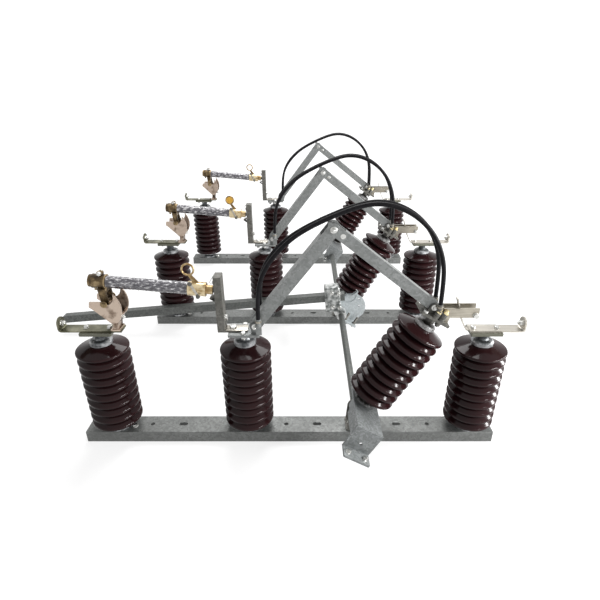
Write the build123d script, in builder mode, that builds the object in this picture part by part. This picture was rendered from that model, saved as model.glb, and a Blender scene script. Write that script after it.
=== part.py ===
from build123d import *
import os
from math import asin, cos, degrees, hypot, pi, radians, sin, tan

# Three-pole rocking-post disconnect switch with a drop-out fuse in series on each pole, 36 kV class.
# X runs along a pole, from the fuse end (-X) to the jaw end (+X). Y runs along the gang shaft, with
# the middle pole at Y = 0. Z = 0 is the upper face of the base channels, and X = 0 their middle.
# The switch is drawn closed: the rocking posts lean towards the jaws. Millimetres throughout.

# ---------------------------------------------------------------- driving dimensions
POLE_SPACING = 1000.0
POLES = {"front": -POLE_SPACING, "middle": 0.0, "rear": POLE_SPACING}

CHANNEL_LENGTH = 1680.0
CHANNEL_WIDTH = 100.0
CHANNEL_HEIGHT = 50.0
CHANNEL_WEB = 5.0
CHANNEL_FLANGE = 6.0
HOLE_RADIUS = 9.0
HOLE_SPAN = 1155.0
HOLE_FROM_ARM_POST = 150.0
SLOT_FROM_HOLE = 130.0
SLOT_LENGTH = 36.0

FUSE_POST_X = -715.0
ARM_POST_X = -165.0
JAW_POST_X = 740.0
POST_HEIGHT = 450.0
BASE_CUP_HEIGHT = 40.0
TOP_CAP_HEIGHT = 48.0
SHED_COUNT = 10
SHED_RADIUS = 98.0
CORE_RADIUS = 68.0
RIM_HEIGHT = 9.0
DRIP_HEIGHT = 7.0
LIP_ROUND = 5.0
GROOVE_ROUND = 4.5
CAP_RADIUS = 42.0
NECK_RADIUS = 19.0
CUP_RADIUS = 62.0
POST_FOOT_RADIUS = 47.0

SHAFT_X = 275.0
SHAFT_Z = 70.0
SHAFT_RADIUS = 16.85
SHAFT_WALL = 3.2
SHAFT_OVERHANG = 55.0
RUNNING_CLEARANCE = 0.4
FIT = 0.2

POST_LEAN = 30.0
SEAT_RADIUS = 60.0
SEAT_THICKNESS = 8.0
SEAT_WIDTH = 114.0
SEAT_REACH = 190.0
SEAT_BACK = 57.0
CRANK_DROP = 103.0
CRANK_FOOT = 55.0
CRANK_HOLE_RADIUS = 7.0
CRANK_FOOT_PITCH = 75.0
GUSSET_DEPTH = 44.0

STAND_WIDTH = 84.0
STAND_SPAN = 66.0
STAND_PLATE = 6.0
STAND_EYE_RADIUS = 32.0
SADDLE_LENGTH = 50.0
SADDLE_WIDTH = 64.0
SADDLE_WALL = 9.0

LEVER_SIDE = 45.0
LEVER_WALL = 4.0
LEVER_LENGTH = 1640.0
LEVER_RISE = 114.0
LEVER_SLOPE = 5.1
LEVER_Y = -140.0
HUB_DEPTH = 64.0
HUB_WALL = 13.0
HUB_WIDTH = 88.0
HUB_BELOW = 54.0
HUB_SEAM = 3.0
HUB_SEAM_BELOW = 34.0
HUB_PLATE_RADIUS = 86.0
HUB_PLATE_THICKNESS = 9.0
HUB_PLATE_ASIDE = 38.0
HUB_PLATE_RISE = 53.0
HUB_TAB_FROM = 34.0
HUB_TAB_TO = 112.0
HUB_TAB_DROP = 28.0
HUB_TAB_REACH = 60.0
HUB_STUD_RADIUS = 6.0
HUB_RIB_RADIUS = 56.0
HUB_RIB_THICKNESS = 8.0
HUB_RIB_REACH = 28.0

TOP_PLATE_THICKNESS = 10.0
TOP_PLATE_DEPTH = 92.0
TERMINAL_PLATE_LENGTH = 120.0
TERMINAL_PLATE_DEPTH = 76.0
PLATE_BOLT_ASIDE = 44.0
PLATE_BOLT_RADIUS = 5.5
FUSE_TERMINAL_REACH = 139.0
JAW_TERMINAL_REACH = 144.0
TERMINAL_RISE = 62.0
TERMINAL_WIDTH = 50.0
TERMINAL_THICKNESS = 6.0
TERMINAL_BEND = 9.0
TERMINAL_HOLE_RADIUS = 7.0

TRUNNION_X = -655.0
TRUNNION_RISE = 124.0
TRUNNION_RADIUS = 7.0
HINGE_WIDTH = 78.0
HINGE_WALL = 7.0
HINGE_KEEL = 80.0
SHELF_REACH = 56.0
SHELF_RISE = 8.0
SHELF_DEPTH = 20.0
HORN_REACH = 59.0
HORN_RISE = 38.0
HORN_WIDTH = 24.0
PEDESTAL_WIDTH = 44.0
PEDESTAL_LENGTH = 22.0
PEDESTAL_FOOT = 6.0
STRAP_MARGIN = 7.0
FUSE_DROP = 5.0
FUSE_RISE = 73.0
FUSE_LENGTH = 398.0
FUSE_RADIUS = 20.0
FUSE_BORE = 9.5
FERRULE_WALL = 6.0
HEEL_LENGTH = 49.0
HEEL_REACH = 46.0
HEEL_LUG = 9.0
HEEL_BOSS = 13.0
HEEL_CAP = 11.0
HEEL_RING = 4.0
EAR_LENGTH = 20.0
EAR_RISE = 11.0
EAR_GAP = 4.0
EAR_THICKNESS = 6.0
HOOK_DROP = 9.0
HOOK_LENGTH = 8.0
HEAD_LENGTH = 58.0
NOSE_LENGTH = 24.0
NOSE_RADIUS = 17.0
RING_RADIUS = 21.0
RING_WIRE = 3.5
RING_SHANK = 25.0
RING_SETBACK = 31.0

UPRIGHT_RISE = 98.0
NOSE_CLEARANCE = 7.5
UPRIGHT_DEPTH = 27.0
UPRIGHT_WIDTH = 50.0
UPRIGHT_WALL = 4.0
LATCH_STRIP = 3.0

ARM_PIVOT_X = -120.0
ARM_PIVOT_RISE = 28.0
KNEE_X = 160.0
KNEE_RISE = 395.0
LINK_PIVOT_ASIDE = -22.2
LINK_PIVOT_RISE = 28.45
PIN_RADIUS = 6.0
ARM_WIDTH = 44.0
ARM_DEPTH = 48.0
LINK_WIDTH = 40.0
LINK_DEPTH = 30.0
ARM_WALL = 4.0
CLEVIS_GAP = 2.0
CLEVIS_PLATE = 6.0
CLEVIS_BOSS = 15.0
KNEE_SLACK = 7.0
CABLE_SADDLE = 3.0
SADDLE_SPREAD = 14.0

LINK_PLATE_LENGTH = 124.0
CONTACT_HEEL = 4.0
CONTACT_GAP = 34.0
CONTACT_PLATE = 6.0
CONTACT_HEIGHT = 38.0
CONTACT_RISE = 80.0
CONTACT_END_X = 700.0
BLADE_WIDTH = 24.0
BLADE_THICKNESS = 4.0

CABLE_RADIUS = 8.0
CABLE_LUG_WALL = 2.0
CABLE_LUG_LENGTH = 30.0
CABLE_LUG_PLATE = 6.0
CABLE_LUG_WIDTH = 22.0

# Route of a pole's cables: x, distance to either side of the pole's middle, z.
LOWER_ROUTE = [
    (-106, 41, 526),
    (-106, 41, 614),
    (-86, 36, 702),
    (-32, 27, 780),
    (57, 12, 853),
    (148, 12, 894),
]
UPPER_ROUTE = [
    (148, 12, 894),
    (239, 12, 935),
    (335, 17, 944),
    (428, 23, 908),
    (502, 28, 838),
    (541, 32, 747),
    (550, 34, 658),
    (550, 34, 582),
]

# ---------------------------------------------------------------- derived sizes
PLATE_TOP = POST_HEIGHT + TOP_PLATE_THICKNESS
PORCELAIN_HEIGHT = POST_HEIGHT - BASE_CUP_HEIGHT - TOP_CAP_HEIGHT
SHED_PITCH = PORCELAIN_HEIGHT / SHED_COUNT
FIXED_POSTS = (FUSE_POST_X, ARM_POST_X, JAW_POST_X)
ARM_HOLE_X = ARM_POST_X + HOLE_FROM_ARM_POST
WEB_HOLES = (
    (-HOLE_SPAN / 2, SLOT_FROM_HOLE - HOLE_SPAN / 2),
    (ARM_HOLE_X, ARM_HOLE_X + SLOT_FROM_HOLE),
    (HOLE_SPAN / 2, HOLE_SPAN / 2 - SLOT_FROM_HOLE),
)
SEAT_TOP = SEAT_RADIUS + SEAT_THICKNESS
CAP_TOP = SEAT_TOP + POST_HEIGHT
LEAN = radians(POST_LEAN)
STRAP_TOP = PLATE_TOP + TERMINAL_THICKNESS

ARM_PIVOT_Z = PLATE_TOP + ARM_PIVOT_RISE
KNEE_Z = PLATE_TOP + KNEE_RISE
CONTACT_Z = PLATE_TOP + CONTACT_RISE
LINK_PIVOT_UP = CAP_TOP + TOP_PLATE_THICKNESS + LINK_PIVOT_RISE
LINK_PIVOT_X = SHAFT_X + LINK_PIVOT_ASIDE * cos(LEAN) + LINK_PIVOT_UP * sin(LEAN)
LINK_PIVOT_Z = SHAFT_Z - LINK_PIVOT_ASIDE * sin(LEAN) + LINK_PIVOT_UP * cos(LEAN)
SADDLE_X = KNEE_X - 12
SADDLE_Z = KNEE_Z + LINK_WIDTH / 2 + 3 + CABLE_SADDLE

TRUNNION_Z = PLATE_TOP + TRUNNION_RISE
DROP = radians(FUSE_DROP)
FUSE_START_X = TRUNNION_X - HEEL_REACH * cos(DROP) + FUSE_RISE * sin(DROP)
NOSE_END_X = FUSE_START_X + (FUSE_LENGTH + FERRULE_WALL + NOSE_LENGTH) * cos(DROP)
UPRIGHT_X = NOSE_END_X + NOSE_CLEARANCE + UPRIGHT_DEPTH / 2


def front_plane(x, y, z, turn=0.0):
    """Vertical plane facing the front, its local x turned up from +X by turn degrees."""
    t = radians(turn)
    return Plane(origin=(x, y, z), x_dir=(cos(t), 0, sin(t)), z_dir=(0, -1, 0))


def leaning_plane(y, height=0.0):
    """Plane square to a rocking post's axis, at a height measured from the shaft's axis."""
    origin = (SHAFT_X + height * sin(LEAN), y, SHAFT_Z + height * cos(LEAN))
    return Plane(origin=origin, x_dir=(cos(LEAN), 0, -sin(LEAN)), z_dir=(sin(LEAN), 0, cos(LEAN)))


def level_plane(x, y, z):
    """Level plane with its local x along +X."""
    return Plane(origin=(x, y, z), x_dir=(1, 0, 0), z_dir=(0, 0, 1))


def leaning_front(y):
    """Vertical plane through the shaft's axis with its local y along a rocking post."""
    return front_plane(SHAFT_X, y, SHAFT_Z, -POST_LEAN)


def shed_outline():
    """Half section of a post's porcelain, from its foot at (0, 0) up."""
    points = [(0, 0), (CORE_RADIUS - 14, 0)]
    for shed in range(SHED_COUNT):
        foot = shed * SHED_PITCH
        points += [(CORE_RADIUS, foot + DRIP_HEIGHT)] if shed else [(CORE_RADIUS - 14, DRIP_HEIGHT)]
        points += [(SHED_RADIUS, foot + DRIP_HEIGHT - 3), (SHED_RADIUS, foot + DRIP_HEIGHT + RIM_HEIGHT)]
    points += [(CAP_RADIUS - 6, PORCELAIN_HEIGHT), (0, PORCELAIN_HEIGHT)]
    return points


def base_cup_outline():
    """Half section of the iron foot under a post's porcelain."""
    return [
        (0, 0),
        (POST_FOOT_RADIUS, 0),
        (POST_FOOT_RADIUS, 9),
        (POST_FOOT_RADIUS - 9, 14),
        (CUP_RADIUS - 10, BASE_CUP_HEIGHT - 14),
        (CUP_RADIUS, BASE_CUP_HEIGHT - 10),
        (CUP_RADIUS, BASE_CUP_HEIGHT),
        (0, BASE_CUP_HEIGHT),
    ]


def top_cap_outline():
    """Half section of the iron cap on a post's porcelain, from the porcelain up to the plate."""
    return [
        (0, 0),
        (CAP_RADIUS, 0),
        (CAP_RADIUS, 12),
        (CAP_RADIUS - 6, 17),
        (NECK_RADIUS + 4, 20),
        (NECK_RADIUS, 26),
        (NECK_RADIUS, TOP_CAP_HEIGHT),
        (0, TOP_CAP_HEIGHT),
    ]


def turned(plane, outline):
    """Revolve a half section about its plane's own y axis."""
    with BuildSketch(plane) as section:
        Polygon(*outline, align=None)
    revolve(section.sketch, axis=Axis(plane.origin, plane.y_dir))


def porcelain(plane):
    """Revolve a post's porcelain, with rounded lips on its sheds and rounded grooves between."""
    with BuildSketch() as section:
        Polygon(*shed_outline(), align=None)
        corners = section.vertices()
        lips = [corner for corner in corners if corner.X > SHED_RADIUS - 0.1]
        grooves = [corner for corner in corners if abs(corner.X - CORE_RADIUS) < 0.1]
        fillet(lips, LIP_ROUND)
        fillet(grooves, GROOVE_ROUND)
    revolve(plane * section.sketch, axis=Axis(plane.origin, plane.y_dir))


def save(piece, name):
    """Label a finished piece and write it."""
    piece.part.label = name
    export_step(piece.part, f"parts/{name}.step")


os.makedirs("parts", exist_ok=True)


# ---------------------------------------------------------------- base channels
def base_channel(y):
    """Galvanised channel, web up, with a round hole and a slot beside each post."""
    with BuildPart() as channel:
        with BuildSketch(Plane(origin=(0, y, 0), x_dir=(0, 1, 0), z_dir=(1, 0, 0))):
            with Locations((0, -CHANNEL_HEIGHT / 2)):
                Rectangle(CHANNEL_WIDTH, CHANNEL_HEIGHT)
            with Locations((0, -(CHANNEL_HEIGHT + CHANNEL_WEB) / 2)):
                Rectangle(
                    CHANNEL_WIDTH - 2 * CHANNEL_FLANGE,
                    CHANNEL_HEIGHT - CHANNEL_WEB,
                    mode=Mode.SUBTRACT,
                )
        extrude(amount=CHANNEL_LENGTH / 2, both=True)
        web_edges = channel.edges().filter_by(Axis.X).group_by(Axis.Z)[-1]
        fillet(web_edges, 4.0)
        with BuildSketch(level_plane(0, y, 0)):
            for hole, slot in WEB_HOLES:
                with Locations((hole, 0)):
                    Circle(HOLE_RADIUS)
                with Locations((slot, 0)):
                    SlotOverall(SLOT_LENGTH, 2 * HOLE_RADIUS)
        extrude(amount=-CHANNEL_WEB * 2, mode=Mode.SUBTRACT)
    return channel


# ---------------------------------------------------------------- posts
def fixed_insulators(y):
    """The three upright porcelain posts of one pole."""
    with BuildPart() as posts:
        for x in FIXED_POSTS:
            porcelain(front_plane(x, y, BASE_CUP_HEIGHT))
    return posts


def plate_bolt_holes():
    """The two bolt holes of a top plate, cut from the open sketch."""
    with GridLocations(2 * PLATE_BOLT_ASIDE, 0, 2, 1):
        Circle(PLATE_BOLT_RADIUS, mode=Mode.SUBTRACT)


def fixed_fittings():
    """Iron feet and caps of the upright posts, and the steel plates under the two terminals."""
    with BuildPart() as fittings:
        for y in POLES.values():
            for x in FIXED_POSTS:
                turned(front_plane(x, y, 0), base_cup_outline())
                turned(front_plane(x, y, POST_HEIGHT - TOP_CAP_HEIGHT), top_cap_outline())
            for x in (FUSE_POST_X, JAW_POST_X):
                with BuildSketch(level_plane(x, y, POST_HEIGHT)):
                    RectangleRounded(TERMINAL_PLATE_LENGTH, TERMINAL_PLATE_DEPTH, 4)
                    plate_bolt_holes()
                extrude(amount=TOP_PLATE_THICKNESS)
    return fittings


def rocking_section(y, height):
    """Plane of a rocking post's half section, with its origin at a height from the shaft's axis."""
    front = leaning_front(y)
    return Plane(origin=leaning_plane(y, height).origin, x_dir=front.x_dir, z_dir=front.z_dir)


def rocking_insulators():
    """Porcelain of the three rocking posts."""
    with BuildPart() as posts:
        for y in POLES.values():
            porcelain(rocking_section(y, SEAT_TOP + BASE_CUP_HEIGHT))
    return posts


def rocking_fittings():
    """Iron feet and caps of the rocking posts."""
    with BuildPart() as fittings:
        for y in POLES.values():
            turned(rocking_section(y, SEAT_TOP), base_cup_outline())
            turned(rocking_section(y, CAP_TOP - TOP_CAP_HEIGHT), top_cap_outline())
    return fittings


# ---------------------------------------------------------------- gang shaft, stands and seats
def gang_shaft():
    """Pipe that carries the three rocking posts."""
    with BuildPart() as shaft:
        with BuildSketch(front_plane(SHAFT_X, 0, SHAFT_Z)):
            Circle(SHAFT_RADIUS)
            Circle(SHAFT_RADIUS - SHAFT_WALL, mode=Mode.SUBTRACT)
        extrude(amount=POLE_SPACING + SHAFT_OVERHANG, both=True)
    return shaft


def bearing_stands():
    """A folded stand on each channel, with an eye in each cheek for the shaft."""
    with BuildPart() as stands:
        for y in POLES.values():
            with BuildSketch(level_plane(SHAFT_X, y, 0)):
                RectangleRounded(STAND_WIDTH, STAND_SPAN + 2 * STAND_PLATE, 4)
            extrude(amount=STAND_PLATE)
            for side in (-1, 1):
                cheek_y = y + side * (STAND_SPAN + STAND_PLATE) / 2
                with BuildSketch(front_plane(SHAFT_X, cheek_y, SHAFT_Z)):
                    with BuildSketch(mode=Mode.PRIVATE) as foot:
                        with Locations((0, STAND_PLATE - SHAFT_Z)):
                            Rectangle(STAND_WIDTH - 10, 2)
                    with BuildSketch(mode=Mode.PRIVATE) as eye:
                        Circle(STAND_EYE_RADIUS)
                    make_hull(foot.sketch.edges() + eye.sketch.edges())
                    Circle(SHAFT_RADIUS + RUNNING_CLEARANCE, mode=Mode.SUBTRACT)
                extrude(amount=STAND_PLATE / 2, both=True)
    return stands


def post_seat(y, crank, shaft_passes):
    """Seat plate of a rocking post with its saddle on the shaft, and the crank plate in front."""
    saddle_reach = SADDLE_WIDTH / 2
    front = SEAT_REACH if crank else SEAT_BACK
    with BuildPart() as seat:
        with BuildSketch(leaning_plane(y, SEAT_RADIUS)):
            with Locations((0, (SEAT_BACK - front) / 2)):
                RectangleRounded(SEAT_WIDTH, SEAT_BACK + front, 5)
        extrude(amount=SEAT_THICKNESS)
        with BuildSketch(leaning_front(y)):
            with Locations((0, SEAT_RADIUS / 2)):
                Rectangle(2 * saddle_reach, SEAT_RADIUS)
            Circle(SHAFT_RADIUS + SADDLE_WALL)
            Circle(SHAFT_RADIUS, mode=Mode.SUBTRACT)
        extrude(amount=SADDLE_LENGTH / 2, both=True)
        if crank:
            with BuildSketch(leaning_front(y - front)):
                with Locations((0, SEAT_TOP - CRANK_DROP / 2 - SEAT_THICKNESS / 2)):
                    Rectangle(SEAT_WIDTH, CRANK_DROP + SEAT_THICKNESS)
                if shaft_passes:
                    Circle(SHAFT_RADIUS, mode=Mode.SUBTRACT)
                else:
                    Circle(CRANK_HOLE_RADIUS, mode=Mode.SUBTRACT)
            extrude(amount=-SEAT_THICKNESS)
            with BuildSketch(leaning_plane(y, SEAT_RADIUS - CRANK_DROP)):
                with Locations((0, -front - CRANK_FOOT / 2 + SEAT_THICKNESS / 2)):
                    RectangleRounded(SEAT_WIDTH, CRANK_FOOT + SEAT_THICKNESS, 5)
                with Locations((0, -front - CRANK_FOOT / 2)):
                    with GridLocations(CRANK_FOOT_PITCH, 0, 2, 1):
                        Circle(CRANK_HOLE_RADIUS, mode=Mode.SUBTRACT)
            extrude(amount=SEAT_THICKNESS)
            with BuildSketch(leaning_plane(y, SEAT_RADIUS)):
                with Locations(((SEAT_THICKNESS - SEAT_WIDTH) / 2, -(front + SEAT_BACK) / 2)):
                    Rectangle(SEAT_THICKNESS, front - SEAT_BACK)
            extrude(amount=-GUSSET_DEPTH)
    return seat


# ---------------------------------------------------------------- operating lever
def operating_lever():
    """Square tube that turns the shaft."""
    side = front_plane(SHAFT_X, LEVER_Y, SHAFT_Z, LEVER_SLOPE)
    start = side.from_local_coords((HUB_WALL * 2, LEVER_RISE, 0))
    with BuildPart() as lever:
        with BuildSketch(Plane(origin=start, x_dir=(0, 1, 0), z_dir=-side.x_dir)):
            RectangleRounded(LEVER_SIDE, LEVER_SIDE, LEVER_WALL)
            inner = LEVER_SIDE - 2 * LEVER_WALL
            Rectangle(inner, inner, mode=Mode.SUBTRACT)
        extrude(amount=LEVER_LENGTH)
    return lever


def lever_hub():
    """Split cast hub: a block that clamps the lever, with a neck down to its collar on the shaft."""
    side = front_plane(SHAFT_X, LEVER_Y, SHAFT_Z, LEVER_SLOPE)
    middle = side.from_local_coords((0, LEVER_RISE, 0))
    top = LEVER_RISE + LEVER_SIDE / 2 + HUB_WALL + 34
    bottom = HUB_BELOW - 24
    aside = -HUB_WIDTH / 2
    with BuildPart() as hub:
        with BuildSketch(side):
            with Locations((aside, (top + bottom) / 2)):
                RectangleRounded(HUB_WIDTH, top - bottom, 12)
        extrude(amount=HUB_DEPTH / 2, both=True)
        front = hub.faces().sort_by(Axis.Y)[0]
        fillet(front.edges(), 6.0)
        with BuildSketch(Plane(origin=side.from_local_coords((aside, HUB_BELOW + HUB_SEAM_BELOW, 0)),
                               x_dir=side.x_dir, z_dir=side.y_dir)):
            Rectangle(HUB_WIDTH + 2, HUB_DEPTH + 2)
            Rectangle(HUB_WIDTH - 2 * HUB_SEAM, HUB_DEPTH - 2 * HUB_SEAM, mode=Mode.SUBTRACT)
        extrude(amount=HUB_SEAM, mode=Mode.SUBTRACT)
        with BuildSketch(side):
            with BuildSketch(mode=Mode.PRIVATE) as collar:
                Circle(SHAFT_RADIUS + HUB_WALL)
            with BuildSketch(mode=Mode.PRIVATE) as neck:
                with Locations((aside / 2 - 4, bottom + 14)):
                    Rectangle(HUB_WIDTH / 2, 8)
            make_hull(collar.sketch.edges() + neck.sketch.edges())
        extrude(amount=HUB_DEPTH / 2 - 4, both=True)
        with BuildSketch(side):
            Circle(SHAFT_RADIUS)
        extrude(amount=HUB_DEPTH, both=True, mode=Mode.SUBTRACT)
        with BuildSketch(Plane(origin=middle, x_dir=(0, 1, 0), z_dir=-side.x_dir)):
            RectangleRounded(LEVER_SIDE + 2 * FIT, LEVER_SIDE + 2 * FIT, LEVER_WALL)
        extrude(amount=LEVER_SIDE * 4, both=True, mode=Mode.SUBTRACT)
    return hub


def hub_plate():
    """Round plate behind the hub, with a curved rib and a folded foot for its two studs."""
    face = LEVER_Y + HUB_DEPTH / 2
    back = face + HUB_PLATE_THICKNESS
    foot_width = HUB_TAB_TO - HUB_TAB_FROM
    foot_middle = (HUB_TAB_TO + HUB_TAB_FROM) / 2
    with BuildPart() as plate:
        with BuildSketch(leaning_front(back)):
            with Locations((HUB_PLATE_ASIDE, HUB_PLATE_RISE)):
                Circle(HUB_PLATE_RADIUS)
            with Locations((foot_middle, (HUB_PLATE_RISE - HUB_TAB_DROP) / 2)):
                Rectangle(foot_width, HUB_PLATE_RISE + HUB_TAB_DROP)
            Circle(SHAFT_RADIUS, mode=Mode.SUBTRACT)
            with Locations((52, 122), (75, 83)):
                Circle(5, mode=Mode.SUBTRACT)
        extrude(amount=HUB_PLATE_THICKNESS)
        with BuildSketch(leaning_front(face)):
            with Locations((foot_middle, -HUB_TAB_DROP + SEAT_THICKNESS / 2)):
                Rectangle(foot_width, SEAT_THICKNESS)
        extrude(amount=HUB_TAB_REACH)
        with BuildSketch(leaning_plane(face - HUB_TAB_REACH / 2, -HUB_TAB_DROP)):
            with Locations((foot_middle, 0)):
                with GridLocations(foot_width - 4 * HUB_STUD_RADIUS, 0, 2, 1):
                    Circle(HUB_STUD_RADIUS)
        extrude(amount=SEAT_THICKNESS, mode=Mode.SUBTRACT)
        with BuildSketch(front_plane(SHAFT_X + 43, face, SHAFT_Z + 165)) as rib:
            with BuildLine():
                CenterArc((0, 0), HUB_RIB_RADIUS, -108, 78)
            trace(line_width=HUB_RIB_THICKNESS)
        extrude(rib.sketch, amount=HUB_RIB_REACH)
    return plate


# ---------------------------------------------------------------- top plates and terminals
def terminal_strap(y, inner, end, way):
    """Copper strap that lies on a post's plate and turns up outside it into the terminal's tab."""
    level = PLATE_TOP + TERMINAL_THICKNESS / 2
    riser = end - way * TERMINAL_THICKNESS / 2
    hole_z = POST_HEIGHT + TERMINAL_RISE - TERMINAL_WIDTH / 2
    with BuildSketch(front_plane(0, y, 0)) as strap:
        with BuildLine():
            FilletPolyline((inner, level), (riser, level), (riser, hole_z), radius=TERMINAL_BEND)
        trace(line_width=TERMINAL_THICKNESS)
    extrude(strap.sketch, amount=TERMINAL_WIDTH / 2, both=True)
    with BuildSketch(Plane(origin=(riser, y, hole_z), x_dir=(0, 1, 0), z_dir=(1, 0, 0))) as tab:
        Circle(TERMINAL_WIDTH / 2)
    extrude(tab.sketch, amount=TERMINAL_THICKNESS / 2, both=True)
    with BuildSketch(Plane(origin=(riser, y, hole_z), x_dir=(0, 1, 0), z_dir=(1, 0, 0))) as hole:
        Circle(TERMINAL_HOLE_RADIUS)
    extrude(hole.sketch, amount=TERMINAL_THICKNESS, both=True, mode=Mode.SUBTRACT)


def strap_bolt_holes(x, y):
    """The two plate bolts' holes in a terminal strap, cut from the open part."""
    with BuildSketch(level_plane(x, y, PLATE_TOP)) as holes:
        with GridLocations(2 * PLATE_BOLT_ASIDE, 0, 2, 1):
            Circle(PLATE_BOLT_RADIUS)
    extrude(holes.sketch, amount=TERMINAL_THICKNESS, mode=Mode.SUBTRACT)


def fuse_terminal(y):
    """Terminal strap on the fuse post, long enough to carry the hinge's pedestal."""
    inner = TRUNNION_X + HORN_REACH / 2 + STRAP_MARGIN
    with BuildPart() as terminal:
        terminal_strap(y, inner, FUSE_POST_X - FUSE_TERMINAL_REACH, -1)
        strap_bolt_holes(FUSE_POST_X, y)
    return terminal


def jaw_contact(y):
    """Terminal strap on the jaw post, with the bent contact blade at its other end."""
    left = JAW_POST_X - TERMINAL_PLATE_LENGTH / 2
    with BuildPart() as contact:
        terminal_strap(y, left, JAW_POST_X + JAW_TERMINAL_REACH, 1)
        with BuildSketch(front_plane(0, y, 0)) as blade:
            with BuildLine():
                FilletPolyline(
                    (left + 30, PLATE_TOP + BLADE_THICKNESS / 2),
                    (left - 12, PLATE_TOP + BLADE_THICKNESS / 2),
                    (left - 32, PLATE_TOP + CONTACT_RISE / 2),
                    (left - 62, CONTACT_Z + 54),
                    radius=7,
                )
            trace(line_width=BLADE_THICKNESS)
        extrude(blade.sketch, amount=BLADE_WIDTH / 2, both=True)
        strap_bolt_holes(JAW_POST_X, y)
    return contact


# ---------------------------------------------------------------- fuse hinge, latch and arm clevis
def hinge_cheek_outline():
    """Side of the hinge seen from the front, drawn from the trunnion's axis."""
    keel = (15, -HINGE_KEEL)
    heel = (HORN_REACH - 21, 6 - HINGE_KEEL)
    tip = (HORN_REACH - 22, HORN_RISE)
    with BuildLine() as outline:
        Polyline(
            heel,
            keel,
            (-SHELF_REACH + 14, SHELF_RISE - SHELF_DEPTH - 11),
            (-SHELF_REACH, SHELF_RISE - SHELF_DEPTH),
            (-SHELF_REACH + 4, SHELF_RISE),
            (-TRUNNION_RADIUS - 5, SHELF_RISE),
            (TRUNNION_RADIUS + 5, -4),
        )
        ThreePointArc((TRUNNION_RADIUS + 5, -4), (HORN_REACH - HORN_WIDTH - 4, 10), tip)
        ThreePointArc(tip, (HORN_REACH, -18), heel)
    return outline.line


def fuse_hinge(y):
    """Cast hinge bracket: two horned cheeks with open seats for the trunnion, on one pedestal."""
    pivot = front_plane(TRUNNION_X, y, TRUNNION_Z)
    wall = HINGE_WALL / 2**0.5
    keel_x = 15
    shell = [
        (keel_x, -HINGE_KEEL),
        (HORN_REACH - 21, 6 - HINGE_KEEL),
        (HORN_REACH - 9, 26 - HINGE_KEEL),
        (HORN_REACH - 15, 29 - HINGE_KEEL),
        (HORN_REACH - 25, 13 - HINGE_KEEL),
        (keel_x + 2, 8 - HINGE_KEEL),
        (keel_x - HINGE_KEEL / 2 + wall, wall - HINGE_KEEL / 2),
        (keel_x - HINGE_KEEL / 2, -HINGE_KEEL / 2),
    ]
    foot = STRAP_TOP - TRUNNION_Z
    foot_x = keel_x - PEDESTAL_LENGTH / 2
    with BuildPart() as hinge:
        for side in (-1, 1):
            cheek_y = y + side * (HINGE_WIDTH - HINGE_WALL) / 2
            with BuildSketch(front_plane(TRUNNION_X, cheek_y, TRUNNION_Z)):
                with BuildLine():
                    add(hinge_cheek_outline())
                make_face()
                Circle(TRUNNION_RADIUS + RUNNING_CLEARANCE, mode=Mode.SUBTRACT)
                with Locations((0, TRUNNION_RADIUS)):
                    slot = 2 * (TRUNNION_RADIUS + RUNNING_CLEARANCE)
                    Rectangle(slot, 2 * TRUNNION_RADIUS, mode=Mode.SUBTRACT)
            extrude(amount=HINGE_WALL / 2, both=True)
        with BuildSketch(pivot):
            Polygon(*shell, align=None)
        extrude(amount=HINGE_WIDTH / 2, both=True)
        with BuildSketch(pivot):
            Polygon(
                (foot_x, foot),
                (foot_x + PEDESTAL_LENGTH, foot),
                (foot_x + PEDESTAL_LENGTH + 6, 8 - HINGE_KEEL),
                (foot_x + 8, 4 - HINGE_KEEL),
                align=None,
            )
        extrude(amount=PEDESTAL_WIDTH / 2, both=True)
        with BuildSketch(level_plane(TRUNNION_X + keel_x, y, STRAP_TOP)):
            Rectangle(PEDESTAL_LENGTH + 2 * PEDESTAL_FOOT, PEDESTAL_WIDTH + PEDESTAL_FOOT)
        extrude(amount=PEDESTAL_FOOT)
    return hinge


def latch_upright(y):
    """Channel upright on the arm post that holds the latch contact for the fuse's nose."""
    foot_right = ARM_POST_X - 14
    back = UPRIGHT_X + UPRIGHT_DEPTH / 2
    front = UPRIGHT_X - UPRIGHT_DEPTH / 2
    with BuildPart() as upright:
        with BuildSketch(level_plane(UPRIGHT_X, y, PLATE_TOP)):
            Rectangle(UPRIGHT_DEPTH, UPRIGHT_WIDTH)
            with Locations((-UPRIGHT_WALL, 0)):
                Rectangle(UPRIGHT_DEPTH, UPRIGHT_WIDTH - 2 * UPRIGHT_WALL, mode=Mode.SUBTRACT)
        extrude(amount=TRUNNION_Z + UPRIGHT_RISE - PLATE_TOP)
        with BuildSketch(level_plane(UPRIGHT_X, y, TRUNNION_Z + UPRIGHT_RISE)):
            Rectangle(UPRIGHT_DEPTH, UPRIGHT_WIDTH)
        extrude(amount=-UPRIGHT_WALL)
        with BuildSketch(level_plane((front + foot_right) / 2, y, PLATE_TOP)):
            Rectangle(foot_right - front, UPRIGHT_WIDTH)
        extrude(amount=UPRIGHT_WALL)
        with BuildSketch(front_plane(0, y, 0)):
            with BuildLine():
                Polyline(
                    (back - 2, TRUNNION_Z + 92),
                    (front - 4, TRUNNION_Z + 76),
                    (front + 2, TRUNNION_Z + 54),
                    (front + 2, TRUNNION_Z + 20),
                    (front - 18, TRUNNION_Z + 10),
                    (back - 2, TRUNNION_Z - 18),
                )
            trace(line_width=LATCH_STRIP)
        extrude(amount=UPRIGHT_WIDTH / 2 - 10, both=True)
    return upright


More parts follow.
